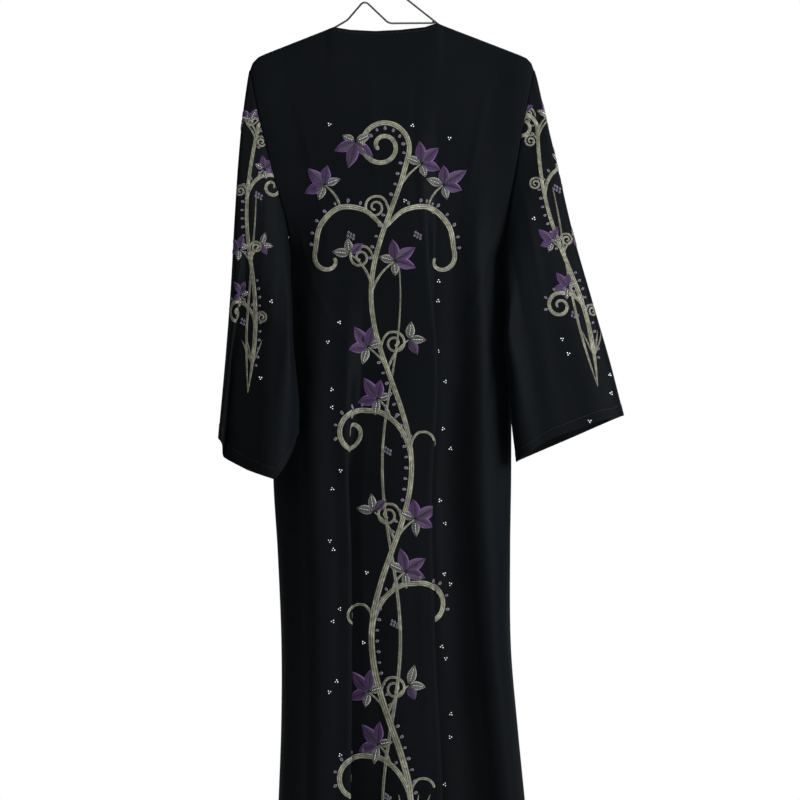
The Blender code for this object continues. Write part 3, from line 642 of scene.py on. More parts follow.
def sleeve_half(share, rings, side, toward, knives, ripples):
    """The back or front half of a sleeve, from its outer fold to the underarm seam."""
    value = {name: through(column(rings, "share"), column(rings, name), share)
             for name in Ring._fields[1:]}
    outer = np.stack([value["outer_x"], value["outer_y"], -value["outer_drop"]], axis=1)
    inner = np.stack([value["inner_x"], value["inner_y"], -value["inner_drop"]], axis=1)
    width = np.linalg.norm(inner - outer, axis=1)
    across = (inner - outer) / width[:, None]
    outward = np.array([0.0, toward, 0.0]) - across * (toward * across[:, 1:2])
    outward /= np.linalg.norm(outward, axis=1, keepdims=True)
    turn = value["back" if toward < 0 else "front"] / (SLEEVE_TURN * width)
    along, out = cross_sections(width, (0 * share, 0 * share + UNDERARM_OUT), (turn, turn), 0,
                                fold_heading(share, 1.0, knives, ripples))
    points = (outer[:, None] + along[:, :, None] * across[:, None]
              + out[:, :, None] * outward[:, None])
    if toward < 0:
        points[:, :, 2] -= value["dip"][:, None] * np.interp(fine_u, DIP_PLACES, DIP_SHARES)
    near = (1 - smooth_step(0, ARMHOLE_SETTLES, share))[:, None, None]
    straight = outer[:, None] + fine_u[:, None] * (across * width[:, None])[:, None]
    depths = np.array(ARMHOLE_DEPTHS)
    gap = ARMHOLE_GAP + (UNDERARM_GAP - ARMHOLE_GAP) * (depths / UNDERARM_DEPTH) ** UNDERARM_GAP_SHAPE
    seam_x = level("left" if side < 0 else "right", depths) + side * gap
    seam_y = toward * seam_out(depths) * (depths > 0)
    at = fine_u * UNDERARM_DEPTH
    seam = np.stack([np.interp(at, depths, seam_x), np.interp(at, depths, seam_y), -TIP_DROP - at],
                    axis=1)
    seam_straight = seam[0] + fine_u[:, None] * ((seam[-1] - seam[0]) * (1, 0, 1))
    settled = straight + (points - straight) * (1 - near) + (seam - seam_straight) * near
    cuff = HEM_PROUD * smooth_step(1 - 0.0350, 1 - 0.0315, share)[:, None]
    outward_side = side if toward < 0 else -side
    proud = (crease_out(share, SLEEVE_CREASES, 1.0) + cuff) * (1 - near[:, :, 0])
    return raised(settled, proud, outward_side)


CUFF_ROWS = 1 - np.array([0.0420, 0.0360, 0.0342, 0.0325, 0.0308, 0.0200, 0.0080, 0.0025, 0.0])
sleeve_shares = np.concatenate([np.linspace(0, 0.95, 92), CUFF_ROWS])
ALLOWANCE = ((0.004, 0.45), (0.0012, 0.75))


def sleeve_grid(rings, side, knives, ripples):
    """Both halves of a sleeve, the front one and then the back one, each from its outer fold to the underarm
    seam."""
    behind = sleeve_half(sleeve_shares, rings, side, -1, knives, ripples)
    before = sleeve_half(sleeve_shares, rings, side, +1, (), SLEEVE_FRONT_RIPPLES)
    return before, behind


def sleeve_piece(name, rings, side, knives, ripples, flip):
    before, behind = sleeve_grid(rings, side, knives, ripples)
    u = crowded(72, knives, (0.06, 0.06))
    ring = np.concatenate([picked(behind, u), picked(before, u)[:, :0:-1]], axis=1)
    turned_in = [ring[:1] * (1, slim, 1) - np.array([side * inward, 0, 0])
                 for inward, slim in ALLOWANCE]
    piece = cut_cloth(name, np.concatenate([*turned_in, ring]), True, flip, crepe)
    return piece, before, behind


sleeve_left, left_before, left_behind = sleeve_piece(
    "left_sleeve", LEFT_RINGS, -1, LEFT_SLEEVE_KNIVES, LEFT_SLEEVE_RIPPLES, False)
sleeve_right, right_before, right_behind = sleeve_piece(
    "right_sleeve", RIGHT_RINGS, +1, (), RIGHT_SLEEVE_RIPPLES, True)
hang(sleeve_left, "sleeve_left")
hang(sleeve_right, "sleeve_right")

# The sewing. Hems, cuffs, necklines and the two front edges are turned in and held by a row
# of black thread stitches that lie a little proud of the crepe.
STITCH_LONG = 0.0026
STITCH_APART = 0.0010
STITCH_WIDE = 0.00042
STITCH_HIGH = 0.00032
EDGE_STITCH = 0.010
NECK_STITCH = 4
sewing_thread = bpy.data.materials.new("black_sewing_thread")
sewing_thread.use_nodes = True
add, join, shader = node_maker(sewing_thread)
shader.inputs["Roughness"].default_value = 0.40
shader.inputs["Specular IOR Level"].default_value = 0.30
place = add("TexCoord")
twist = add("TexWave", Scale=1400.0, Distortion=2.0)
strands = ramp(add, ((0.2, (0.002, 0.002, 0.003)), (0.8, (0.008, 0.008, 0.010))))
relief = add("Bump", Strength=0.5, Distance=0.0001)
join(place, "Object", twist, "Vector")
join(twist, "Fac", strands, "Fac")
join(strands, "Color", shader, "Base Color")
join(twist, "Fac", relief, "Height")
join(relief, "Normal", shader, "Normal")
BAR_ALONG = np.array([-0.5, -0.5, 0.5, 0.5, -0.32, -0.32, 0.32, 0.32])
BAR_ACROSS = np.array([-0.5, 0.5, 0.5, -0.5, -0.22, 0.22, 0.22, -0.22])
BAR_HIGH = np.array([0.0, 0.0, 0.0, 0.0, 1.0, 1.0, 1.0, 1.0])
BAR_FACES = np.array([[3, 2, 1, 0], [4, 5, 6, 7], [0, 1, 5, 4], [1, 2, 6, 5], [2, 3, 7, 6], [3, 0, 4, 7]])
stitch_rows = []


def row_of_stitches(path, out):
    """Stitches end to end along a path on the cloth, standing out along its normals."""
    run = np.concatenate([[0], np.cumsum(np.linalg.norm(np.diff(path, axis=0), axis=1))])
    at = np.arange(STITCH_LONG, run[-1] - STITCH_LONG, STITCH_LONG + STITCH_APART)

    def along_path(table, where):
        return np.stack([np.interp(where, run, table[:, k]) for k in range(3)], axis=1)

    centre = along_path(path, at)
    ahead = along_path(path, at + STITCH_LONG / 2) - along_path(path, at - STITCH_LONG / 2)
    ahead /= np.linalg.norm(ahead, axis=1, keepdims=True)
    up = along_path(out, at)
    up /= np.linalg.norm(up, axis=1, keepdims=True)
    across = np.cross(up, ahead)
    bars = (centre[:, None] + ahead[:, None] * (BAR_ALONG * STITCH_LONG)[:, None]
            + across[:, None] * (BAR_ACROSS * STITCH_WIDE)[:, None]
            + up[:, None] * (CLOTH_THICK * 0.45 + BAR_HIGH * STITCH_HIGH)[:, None])
    stitch_rows.append(bars.reshape(-1, 3))


hem_row = int(np.searchsorted(body_depths, HEM_DEPTH - 0.0176))
cuff_row = int(np.searchsorted(sleeve_shares, 1 - 0.0309))
for grid, facing in ((back_grid, -1), (left_front_grid, 1), (right_front_grid, -1)):
    out = normals_of(grid, facing)
    row_of_stitches(grid[hem_row], out[hem_row])
    if grid is not back_grid:
        from_edge = np.linalg.norm(grid[:, -1:] - grid, axis=2)
        edge_column = FINE - np.argmax(from_edge[:, ::-1] > EDGE_STITCH, axis=1) - 1
        rows = np.arange(NECK_STITCH, hem_row)
        row_of_stitches(grid[rows, edge_column[rows]], out[rows, edge_column[rows]])
    neck = (grid[NECK_STITCH, :, 0] > NECK_LEFT) & (grid[NECK_STITCH, :, 0] < NECK_RIGHT)
    row_of_stitches(grid[NECK_STITCH, neck], out[NECK_STITCH, neck])
for before, behind, side in ((left_before, left_behind, -1), (right_before, right_behind, 1)):
    for half, facing in ((behind, side), (before, -side)):
        row_of_stitches(half[cuff_row], normals_of(half, facing)[cuff_row])
stitch_points = np.concatenate(stitch_rows)
stitch_faces = (np.arange(len(stitch_points) // 8)[:, None, None] * 8 + BAR_FACES).reshape(-1, 4)
stitch_mesh = bpy.data.meshes.new("hem_stitches")
stitch_mesh.from_pydata(stitch_points.tolist(), [], stitch_faces.tolist())
stitch_mesh.materials.append(sewing_thread)
hem_stitches = bpy.data.objects.new("hem_stitches", stitch_mesh)
bpy.context.scene.collection.objects.link(hem_stitches)
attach(hem_stitches, "root")

# The vine's stems. A scrolling vine is sewn up the middle of the back and on both sleeves. Its
# stems are thick olive-silver cords, laid two or three side by side and held by fine slanting
# stitches. Every place is given in centimetres, along and down from the hook.
LEVEL_STEP = 0.004
REACH_STEP = 0.0015
REACH = 0.24
Cloth = namedtuple("Cloth", "place out first_drop first_reach")


def smoothed_out(grid, home):
    """A hanging piece laid flat, so that what is sewn on it follows its folds.

    Places along it count from a home line: the x of a plumb line, or a column of the grid."""
    drops = np.arange(0.16, -grid[:, :, 2].min(), LEVEL_STEP)
    columns = grid.shape[1]
    lines = np.empty((len(drops), columns, 3))
    for j in range(columns):
        for k in (0, 1):
            lines[:, j, k] = np.interp(drops, -grid[:, j, 2], grid[:, j, k])
        lines[:, j, 2] = -np.clip(drops, -grid[0, j, 2], -grid[-1, j, 2])
    middle = home if isinstance(home, float) else float(lines[:, home, 0].mean())
    reach = middle + np.arange(-REACH, REACH, REACH_STEP)
    place = np.empty((len(drops), len(reach), 3))
    for i, line in enumerate(lines):
        run = np.concatenate([[0], np.cumsum(np.linalg.norm(np.diff(line, axis=0), axis=1))])
        j = home if isinstance(home, int) else columns - 1 - int(np.argmax(line[::-1, 0] <= home))
        for k in range(3):
            place[i, :, k] = np.interp(reach + run[j] - line[j, 0], run, line[:, k])
    return Cloth(place, normals_of(place, -1), drops[0], reach[0])


def on_cloth(cloth, reach, drop, height):
    """Places at a reach and drop on the flat cloth, and a height above the middle of it."""
    row = np.clip((drop - cloth.first_drop) / LEVEL_STEP, 0, cloth.place.shape[0] - 1.001)
    col = np.clip((reach - cloth.first_reach) / REACH_STEP, 0, cloth.place.shape[1] - 1.001)
    i, j = row.astype(int), col.astype(int)
    row, col = (row - i)[..., None], (col - j)[..., None]

    def between(table):
        upper = table[i, j] * (1 - col) + table[i, j + 1] * col
        lower = table[i + 1, j] * (1 - col) + table[i + 1, j + 1] * col
        return upper * (1 - row) + lower * row

    return between(cloth.place) + between(cloth.out) * height[..., None]


class Needlework:
    """Stitched shapes of one finish on one piece of cloth, gathered into one mesh."""

    def __init__(self):
        self.cloth, self.points, self.faces, self.run, self.share, self.tone = None, [], [], [], [], []
        self.count = 0

    def add(self, reach, drop, height, faces, run, share, tone=0.5):
        places = on_cloth(self.cloth, reach, drop, height)
        self.points.append(places.reshape(-1, 3))
        self.faces += [[int(v) + self.count for v in face] for face in faces]
        self.run.append(np.reshape(run, (-1, 2)))
        self.share.append(np.reshape(share, (-1, 2)))
        self.tone.append(np.full((reach.size, 2), tone))
        self.count += reach.size

    def add_grid(self, reach, drop, height, run, share, tone=0.5):
        """A domed strip of rows and columns, closed underneath and at its two ends."""
        rows, cols = reach.shape
        i, j = np.meshgrid(np.arange(rows - 1), np.arange(cols - 1), indexing="ij")
        quads = np.stack([i * cols + j, (i + 1) * cols + j, (i + 1) * cols + j + 1,
                          i * cols + j + 1], axis=2).reshape(-1, 4).tolist()
        under = [[r * cols, r * cols + cols - 1, (r + 1) * cols + cols - 1, (r + 1) * cols]
                 for r in range(rows - 1)]
        ends = [list(range(cols)), list(range((rows - 1) * cols, rows * cols))[::-1]]
        self.add(reach, drop, height, quads + under + ends, run, share, tone)

    def sewn(self, name, finish):
        """The gathered shapes as one piece."""
        mesh = bpy.data.meshes.new(name)
        mesh.from_pydata(np.concatenate(self.points).tolist(), [], self.faces)
        outward = bmesh.new()
        outward.from_mesh(mesh)
        bmesh.ops.recalc_face_normals(outward, faces=outward.faces)
        outward.to_mesh(mesh)
        outward.free()
        mesh.polygons.foreach_set("use_smooth", np.ones(len(mesh.polygons), bool))
        corner = np.empty(len(mesh.loops), int)
        mesh.loops.foreach_get("vertex_index", corner)
        for title, values in (("run", self.run), ("share", self.share), ("tone", self.tone)):
            layer = mesh.uv_layers.new(name=title)
            layer.data.foreach_set("uv", np.concatenate(values)[corner].ravel())
        mesh.materials.append(finish)
        piece = bpy.data.objects.new(name, mesh)
        bpy.context.scene.collection.objects.link(piece)
        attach(piece, "root")
        return piece


def smooth_line(places, step=0.0024):
    """A smooth line through places given as centimetres of reach and drop."""
    places = np.array(places, float) / 100
    run = np.concatenate([[0], np.cumsum(np.linalg.norm(np.diff(places, axis=0), axis=1))])
    at = np.linspace(0, run[-1], max(4, int(run[-1] / step)))
    return np.stack([through(run, places[:, 0], at), through(run, places[:, 1], at)], axis=1)


def curled(line, turns, radius, tight=0.16, step=0.0020):
    """The line going on into a spiral, clockwise as seen for turns above nought."""
    (x0, y0), (x1, y1) = line[-2], line[-1]
    heading = math.atan2(y1 - y0, x1 - x0)
    total = abs(turns) * 2 * math.pi
    spiral, turned, x, y = [], 0.0, x1, y1
    while turned < total:
        bend = radius / 100 * (1 - (1 - tight) * turned / total)
        turn = step / bend
        middle = heading + math.copysign(turned + turn / 2, turns)
        x, y = x + step * math.cos(middle), y + step * math.sin(middle)
        spiral.append((x, y))
        turned += turn
    return np.concatenate([line, spiral])


def across_line(line):
    """The run along a line and the unit direction to the left of its travel."""
    ahead = np.gradient(line, axis=0)
    ahead /= np.maximum(np.linalg.norm(ahead, axis=1, keepdims=True), 1e-12)
    run = np.concatenate([[0], np.cumsum(np.linalg.norm(np.diff(line, axis=0), axis=1))])
    return run, np.stack([ahead[:, 1], -ahead[:, 0]], axis=1)


SUNK = 0.0003
CLOTH_TOP = 0.0004


def lay_cord(work, line, widths, strands, tone=0.5, blunt=True):
    """Cords side by side along a line. widths are in millimetres, evenly spaced along it."""
    run, left = across_line(line)
    share = run / run[-1]
    width = np.interp(share, np.linspace(0, 1, len(widths)), widths) / 1000
    if blunt:
        for gone in (run, run[-1] - run):
            part = np.clip(gone / (width / 2), 0, 1)
            width = width * np.sqrt(np.maximum(1 - (1 - part) ** 2, 0.02))
    v = np.linspace(-1, 1, 4 * strands + 1)
    lobes = np.abs(np.sin(strands * math.pi * (v + 1) / 2)) ** 0.7
    crown = 0.00045 + 0.055 * width
    dome = np.sqrt(np.maximum(1 - v**2, 0)) * 0.55 + lobes * 0.45
    height = CLOTH_TOP + crown[:, None] * dome
    height[:, [0, -1]] = SUNK
    reach = line[:, 0:1] + left[:, 0:1] * width[:, None] / 2 * v
    drop = line[:, 1:2] + left[:, 1:2] * width[:, None] / 2 * v
    along = run[:, None] + 0 * v
    # The second share is how near each place lies to a strand's crown; the cord's material uses it to paint
    # the grooves between the strands darker, as painted shade.
    work.add_grid(reach, drop, height,
                  np.stack([along, width[:, None] / 2 * v], axis=2),
                  np.stack([along / run[-1], 0 * along + lobes**2.4], axis=2), tone)


Bud = namedtuple("Bud", "side first last spacing length")


def lay_bud(work, stalks, place, angle, length, width, tone=0.5, stalk=0.0):
    """A small padded drop with a sunk middle, and the stalk it stands on."""
    turn = np.linspace(0, 2 * math.pi, 12, endpoint=False)
    rings = np.array([0.0, 0.30, 0.55, 0.80, 1.0])
    tall = np.array([0.0002, 0.0003, 0.0011, 0.0010, 0.0]) * min(1.0, width / 0.004)
    pointed = 1 + 0.20 * np.maximum(-np.cos(turn), 0) ** 3
    ahead = rings[1:, None] * np.cos(turn) * pointed * length / 2
    aside = rings[1:, None] * np.sin(turn) * width / 2
    ahead, aside = np.append(ahead.ravel(), 0.0), np.append(aside.ravel(), 0.0)
    height = CLOTH_TOP + np.append(np.repeat(tall[1:], 12), tall[0])
    height[36:48] = SUNK
    reach = place[0] + ahead * math.cos(angle) - aside * math.sin(angle)
    drop = place[1] + ahead * math.sin(angle) + aside * math.cos(angle)
    faces = [[48, (k + 1) % 12, k] for k in range(12)]
    for ring in range(3):
        a, b = ring * 12, ring * 12 + 12
        faces += [[a + k, a + (k + 1) % 12, b + (k + 1) % 12, b + k] for k in range(12)]
    faces.append([36 + k for k in range(12)])
    faces = [face[::-1] for face in faces]
    share = np.append(np.repeat(rings[1:], 12), 0.0)
    work.add(reach, drop, height, faces, np.stack([ahead, aside], axis=1),
             np.stack([share, share], axis=1), tone)
    if stalk > 0:
        way = np.array([math.cos(angle), math.sin(angle)])
        foot = np.array(place) - way * (length / 2 + stalk)
        lay_cord(stalks, np.linspace(foot, np.array(place) - way * length * 0.45, 4), (1.0, 0.8), 1)


def bud_row(work, stalks, line, widths, row, tone=0.5):
    """Buds along one side of a stem. side is 1 for the left of its travel, or -1."""
    run, left = across_line(line)
    at = np.arange(row.first, row.last, row.spacing / 100 / run[-1])
    for n, share in enumerate(at):
        x, y = np.interp(share, run / run[-1], line[:, 0]), np.interp(share, run / run[-1], line[:, 1])
        out = np.array([np.interp(share, run / run[-1], left[:, k]) for k in (0, 1)]) * row.side
        width = np.interp(share, np.linspace(0, 1, len(widths)), widths) / 1000
        length = row.length / 850 * (1 + 0.12 * math.sin(2.4 * n))
        stalk = 0.0022 + 0.0006 * math.sin(1.7 * n)
        centre = np.array([x, y]) + out * (width / 2 + stalk + length * 0.42)
        lean = math.atan2(out[1], out[0]) + 0.25 * math.sin(1.3 * n + 0.6)
        lay_bud(work, stalks, centre, lean, length, length * 0.82, tone, stalk)


def leaf_edge(t, shape):
    """Half the width of a leaf along its length, as a share of the widest place."""
    tip = 1.18
    widest = shape / (shape + tip)
    return t**shape * (1 - t) ** tip / (widest**shape * (1 - widest) ** tip)


def lay_leaf(work, base, angle, length, width, bend=0.0, tone=0.5, shape=0.86, vein=0.00045,
             crown=0.0011):
    """A padded satin-stitch leaf or petal from its base, in centimetres and degrees."""
    t = np.linspace(0.004, 0.996, 15)
    heading = math.radians(angle) + math.radians(bend) * (t - 0.2)
    step = np.gradient(t) * length / 100
    spine = np.stack([np.cumsum(np.cos(heading) * step), np.cumsum(np.sin(heading) * step)], axis=1)
    spine += np.array(base) / 100 - spine[0]
    left = np.stack([np.sin(heading), -np.cos(heading)], axis=1)
    half = width / 200 * leaf_edge(t, shape)
    v = np.array([-1.0, -0.86, -0.6, -0.32, -0.10, 0.0, 0.10, 0.32, 0.6, 0.86, 1.0])
    dome = np.sqrt(1 - v**2) * 0.75 + 0.25 * (1 - np.abs(v))
    height = CLOTH_TOP + crown * np.minimum(half / 0.004, 1)[:, None] * dome
    height -= (vein * np.exp(-((v / 0.10) ** 2)) * np.minimum(half / 0.003, 1)[:, None])
    height[:, [0, -1]] = SUNK
    reach = spine[:, 0:1] + left[:, 0:1] * half[:, None] * v
    drop = spine[:, 1:2] + left[:, 1:2] * half[:, None] * v
    along = (t * length / 100)[:, None] - 0.7 * half[:, None] * np.abs(v)
    work.add_grid(reach, drop, height, np.stack([along, half[:, None] * v], axis=2),
                  np.stack([t[:, None] + 0 * v, 0 * along + v], axis=2), tone)
    return spine


def lay_bead(work, place, radius, lift=0.0):
    """A round glass bead that sits on the cloth or on a leaf."""
    tilt = np.linspace(0, math.pi, 7)[1:-1]
    turn = np.linspace(0, 2 * math.pi, 8, endpoint=False)
    ahead = np.append(np.outer(np.sin(tilt), np.cos(turn)).ravel(), (0.0, 0.0)) * radius
    aside = np.append(np.outer(np.sin(tilt), np.sin(turn)).ravel(), (0.0, 0.0)) * radius
    height = CLOTH_TOP + lift + radius * (0.9 + np.append(np.repeat(np.cos(tilt), 8), (1.0, -1.0)))
    faces = [[40, (k + 1) % 8, k] for k in range(8)] + [[41, 32 + k, 32 + (k + 1) % 8] for k in range(8)]
    for ring in range(4):
        a, b = ring * 8, ring * 8 + 8
        faces += [[a + k, a + (k + 1) % 8, b + (k + 1) % 8, b + k] for k in range(8)]
    share = height * 0
    work.add(place[0] + ahead, place[1] + aside, height, [face[::-1] for face in faces],
             np.stack([ahead, aside], axis=1), np.stack([share, share], axis=1))


cord_silk = bpy.data.materials.new("olive_silver_cord")
cord_silk.use_nodes = True
add, join, shader = node_maker(cord_silk)
shader.inputs["Roughness"].default_value = 0.42
shader.inputs["Sheen Weight"].default_value = 0.25
shader.inputs["Specular IOR Level"].default_value = 0.6
shader.inputs["Metallic"].default_value = 0.15


def named_place(add, title):
    made = add("UVMap")
    made.uv_map = title
    return made


def stitched(add, join, shader, run, slant, pitch, depth):
    """Fine slanting stitches: their height, and the bump they make."""
    lay = add("Mapping")
    lay.inputs["Rotation"].default_value = (0, 0, math.radians(slant))
    stitch = add("TexWave", Scale=0.314 / pitch, Distortion=1.5, Detail=2.0)
    stitch.inputs["Detail Scale"].default_value = 3.0
    relief = add("Bump", Strength=0.7, Distance=depth)
    join(run, "UV", lay, "Vector")
    join(lay, "Vector", stitch, "Vector")
    join(stitch, "Fac", relief, "Height")
    join(relief, "Normal", shader, "Normal")
    return stitch


def blended(material, kind, share, first, second):
    """Mixes two colours. share is a number, or a node's output socket."""
    made = material.node_tree.nodes.new("ShaderNodeMix")
    made.data_type = "RGBA"
    made.blend_type = kind
    links = material.node_tree.links
    if isinstance(share, float):
        made.inputs["Factor"].default_value = share
    else:
        links.new(share, made.inputs["Factor"])
    links.new(first, made.inputs[6])
    links.new(second, made.inputs[7])
    return made.outputs[2]


run, share, tone = (named_place(add, title) for title in ("run", "share", "tone"))
stitch = stitched(add, join, shader, run, 24, 0.0007, 0.00022)
blotch = add("TexNoise", Scale=130.0, Detail=5.0, Roughness=0.65)
join(run, "UV", blotch, "Vector")
silk = ramp(add, ((0.28, (0.080, 0.079, 0.036)), (0.48, (0.300, 0.296, 0.190)), (0.70, (0.66, 0.65, 0.51))))
join(blotch, "Fac", silk, "Fac")
thread = ramp(add, ((0.1, (0.42, 0.42, 0.40)), (0.7, (1.0, 1.0, 1.0))))
join(stitch, "Fac", thread, "Fac")
stretch = add("TexNoise", Scale=26.0, Detail=2.0)
join(run, "UV", stretch, "Vector")
worn_light = ramp(add, ((0.36, (0.42, 0.42, 0.36)), (0.62, (1.0, 1.0, 1.0))))
join(stretch, "Fac", worn_light, "Fac")
axes = add("SeparateXYZ")
join(share, "UV", axes, "Vector")
# Painted shade: each strand is lightest on its crown and darkens down into the grooves between the strands
# and at the cord's edges.
strand_groove_painted_shade = ramp(add, ((0.0, (0.04, 0.04, 0.025)), (0.45, (0.38, 0.38, 0.32)), (0.92, (1.0, 1.0, 1.0))))
join(axes, "Y", strand_groove_painted_shade, "Fac")
faded = ramp(add, ((0.0, (0.12, 0.12, 0.12)), (0.5, (0.62, 0.62, 0.62)), (1.0, (1.0, 1.0, 1.0))))
tone_axes = add("SeparateXYZ")
join(tone, "UV", tone_axes, "Vector")
join(tone_axes, "X", faded, "Fac")
colour = blended(cord_silk, "MULTIPLY", 1.0, silk.outputs["Color"], thread.outputs["Color"])
colour = blended(cord_silk, "MULTIPLY", 1.0, colour, strand_groove_painted_shade.outputs["Color"])
colour = blended(cord_silk, "MULTIPLY", 1.0, colour, faded.outputs["Color"])
colour = blended(cord_silk, "MULTIPLY", 1.0, colour, worn_light.outputs["Color"])
cord_silk.node_tree.links.new(colour, shader.inputs["Base Color"])

# One stem sways up each cloth. Great scrolls fill the hollows of its bends, and twigs and small
# curls leave it between them. A vine's foot, fork and top are drops below the hook.
Stem = namedtuple("Stem", "places widths strands curl buds tone")
Tip = namedtuple("Tip", "kind place facing")
Vine = namedtuple("Vine", "foot fork top middle slant sway wave joints size way arms")
VINES = {
    "back": Vine(foot=151, fork=46, top=34.5, middle=0.2, slant=0.0, sway=3.2, wave=54, joints=7, size=1.0,
                 way=-1, arms=True),
    "left_sleeve": Vine(foot=72, fork=34, top=30, middle=-21.2, slant=-0.03, sway=1.0, wave=40, joints=4,
                        size=0.50, way=1, arms=False),
    "right_sleeve": Vine(foot=71, fork=34, top=30, middle=21.9, slant=0.200, sway=1.1, wave=40, joints=4,
                         size=0.54, way=-1, arms=False),
}
# A cord is what a kind of stem is sewn with: its widths in millimetres from foot to tip, its
# strands and its tone. Lengths are in centimetres, on a vine of the back's size.
Cord = namedtuple("Cord", "widths strands tone")
MAIN_CORD = Cord((2.2, 9, 11, 11, 10, 9, 8.5, 8, 8, 8, 8.5, 8.5, 8, 7), 3, 1.0)
SECOND_CORD = Cord((1.6, 4.5, 6, 6, 5.5, 5, 4.5, 3.5, 2), 2, 0.7)
SCROLL_CORD = Cord((6, 8, 8.5, 8.5, 8, 7, 5.5), 3, 0.9)
ARM_CORD = Cord((6, 8, 9, 9, 8.5, 7.5, 5.5), 3, 1.0)
CURL_CORD = Cord((3.4, 4.4, 4.4, 4.2, 3.6), 2, 0.85)
TWIG_CORD = Cord((3.4, 4.6, 3.6, 2.2), 2, 0.8)
ROOT_CORD = Cord((4, 5, 3.6, 1.2), 2, 0.6)
# Each is a fixed part and a part that grows with the vine.
STOUT, BUD_SPACING, BUD_LENGTH = (0.45, 0.55), (0.9, 0.85), (3.4, 1.4)
STEM_STEP = 4.5
BESIDE, BESIDE_END = 0.45, 3
MAIN_BUDS, HOOK_BUDS = ((-1, 0.08, 0.34), (1, 0.40, 0.60)), (0.70, 0.90)
HOOK_TURNS, HOOK_RADIUS = 1.7, 4.3
HOOK_FLOWER = (4.6, 2.2)
SHOOT_TURNS = (0, 25, 50, 75, 95)
# Within a scroll or an arm, places and radii are shares of its length.
SCROLL, TALLEST_SCROLL = 11.0, 5
SCROLL_REACH, SCROLL_RISE, SCROLL_TURNS, SCROLL_RADIUS = 0.62, 0.8, 1.4, 0.34
SCROLL_BUDS, SCROLL_TWIG, SCROLL_GRAPES = (0.14, 0.62), (0.30, -0.69), (0.34, -0.24)
ARM = 9.6
ARM_SHAPE = ((0, 0), (0.35, -0.30), (0.75, -0.33), (1.05, -0.05), (1.15, 0.40))
ARM_TURNS, ARM_RADIUS = 0.66, 0.27
ARM_BUDS, ARM_TWIG, ARM_GRAPES = (0.22, 0.72), (0.72, -0.33), (0.55, 0.10)
CURL_REACH, CURL_RISE, CURL_TURNS, CURL_RADIUS = 1.7, 3.0, 1.6, 1.75
TWIG_SHAPE = ((0, 0), (0.16, -0.42), (0.44, -0.82), (0.80, -1.14))
SCROLL_FLOWER, JOINT_FLOWER, JOINT_LEAVES, ARM_FLOWER, CROWN_FLOWER = 2.6, 4.6, 4.2, 3.2, 5.4
CURL_OVER_SCROLL, LEAVES_OVER_JOINT, CURL_OVER_JOINT = 2.4, 1.6, 4.6
FLOWER_OVER_FORK, CURL_OVER_FORK = 4, 2
ROOTS_OVER_FOOT, ROOT_LEANS = 9, (-3.4, -1.6, 1.6, 3.4)
ROOT_BEND, ROOT_MIDDLE, ROOT_RISE = 0.45, -3.2, -7.5
DOWNWARD = 90


def stem_place(vine, drop, share=1.0):
    """Where the middle stem of a vine crosses a drop, or one that sways by a share of it."""
    bend = math.sin(2 * math.pi * (vine.foot - drop) / vine.wave)
    return vine.middle + vine.slant * (drop - vine.top) + share * vine.sway * bend, drop


def shoot(place, side, across, up):
    """A shoot that leaves upwards and bends out to its side."""
    return [(place[0] + side * across * (1 - math.cos(turn)), place[1] - up * math.sin(turn))
            for turn in np.radians(SHOOT_TURNS)]


def shaped(place, side, size, shape):
    """A shoot through a few places given as shares of its size."""
    return [(place[0] + side * size * x, place[1] + size * y) for x, y in shape]


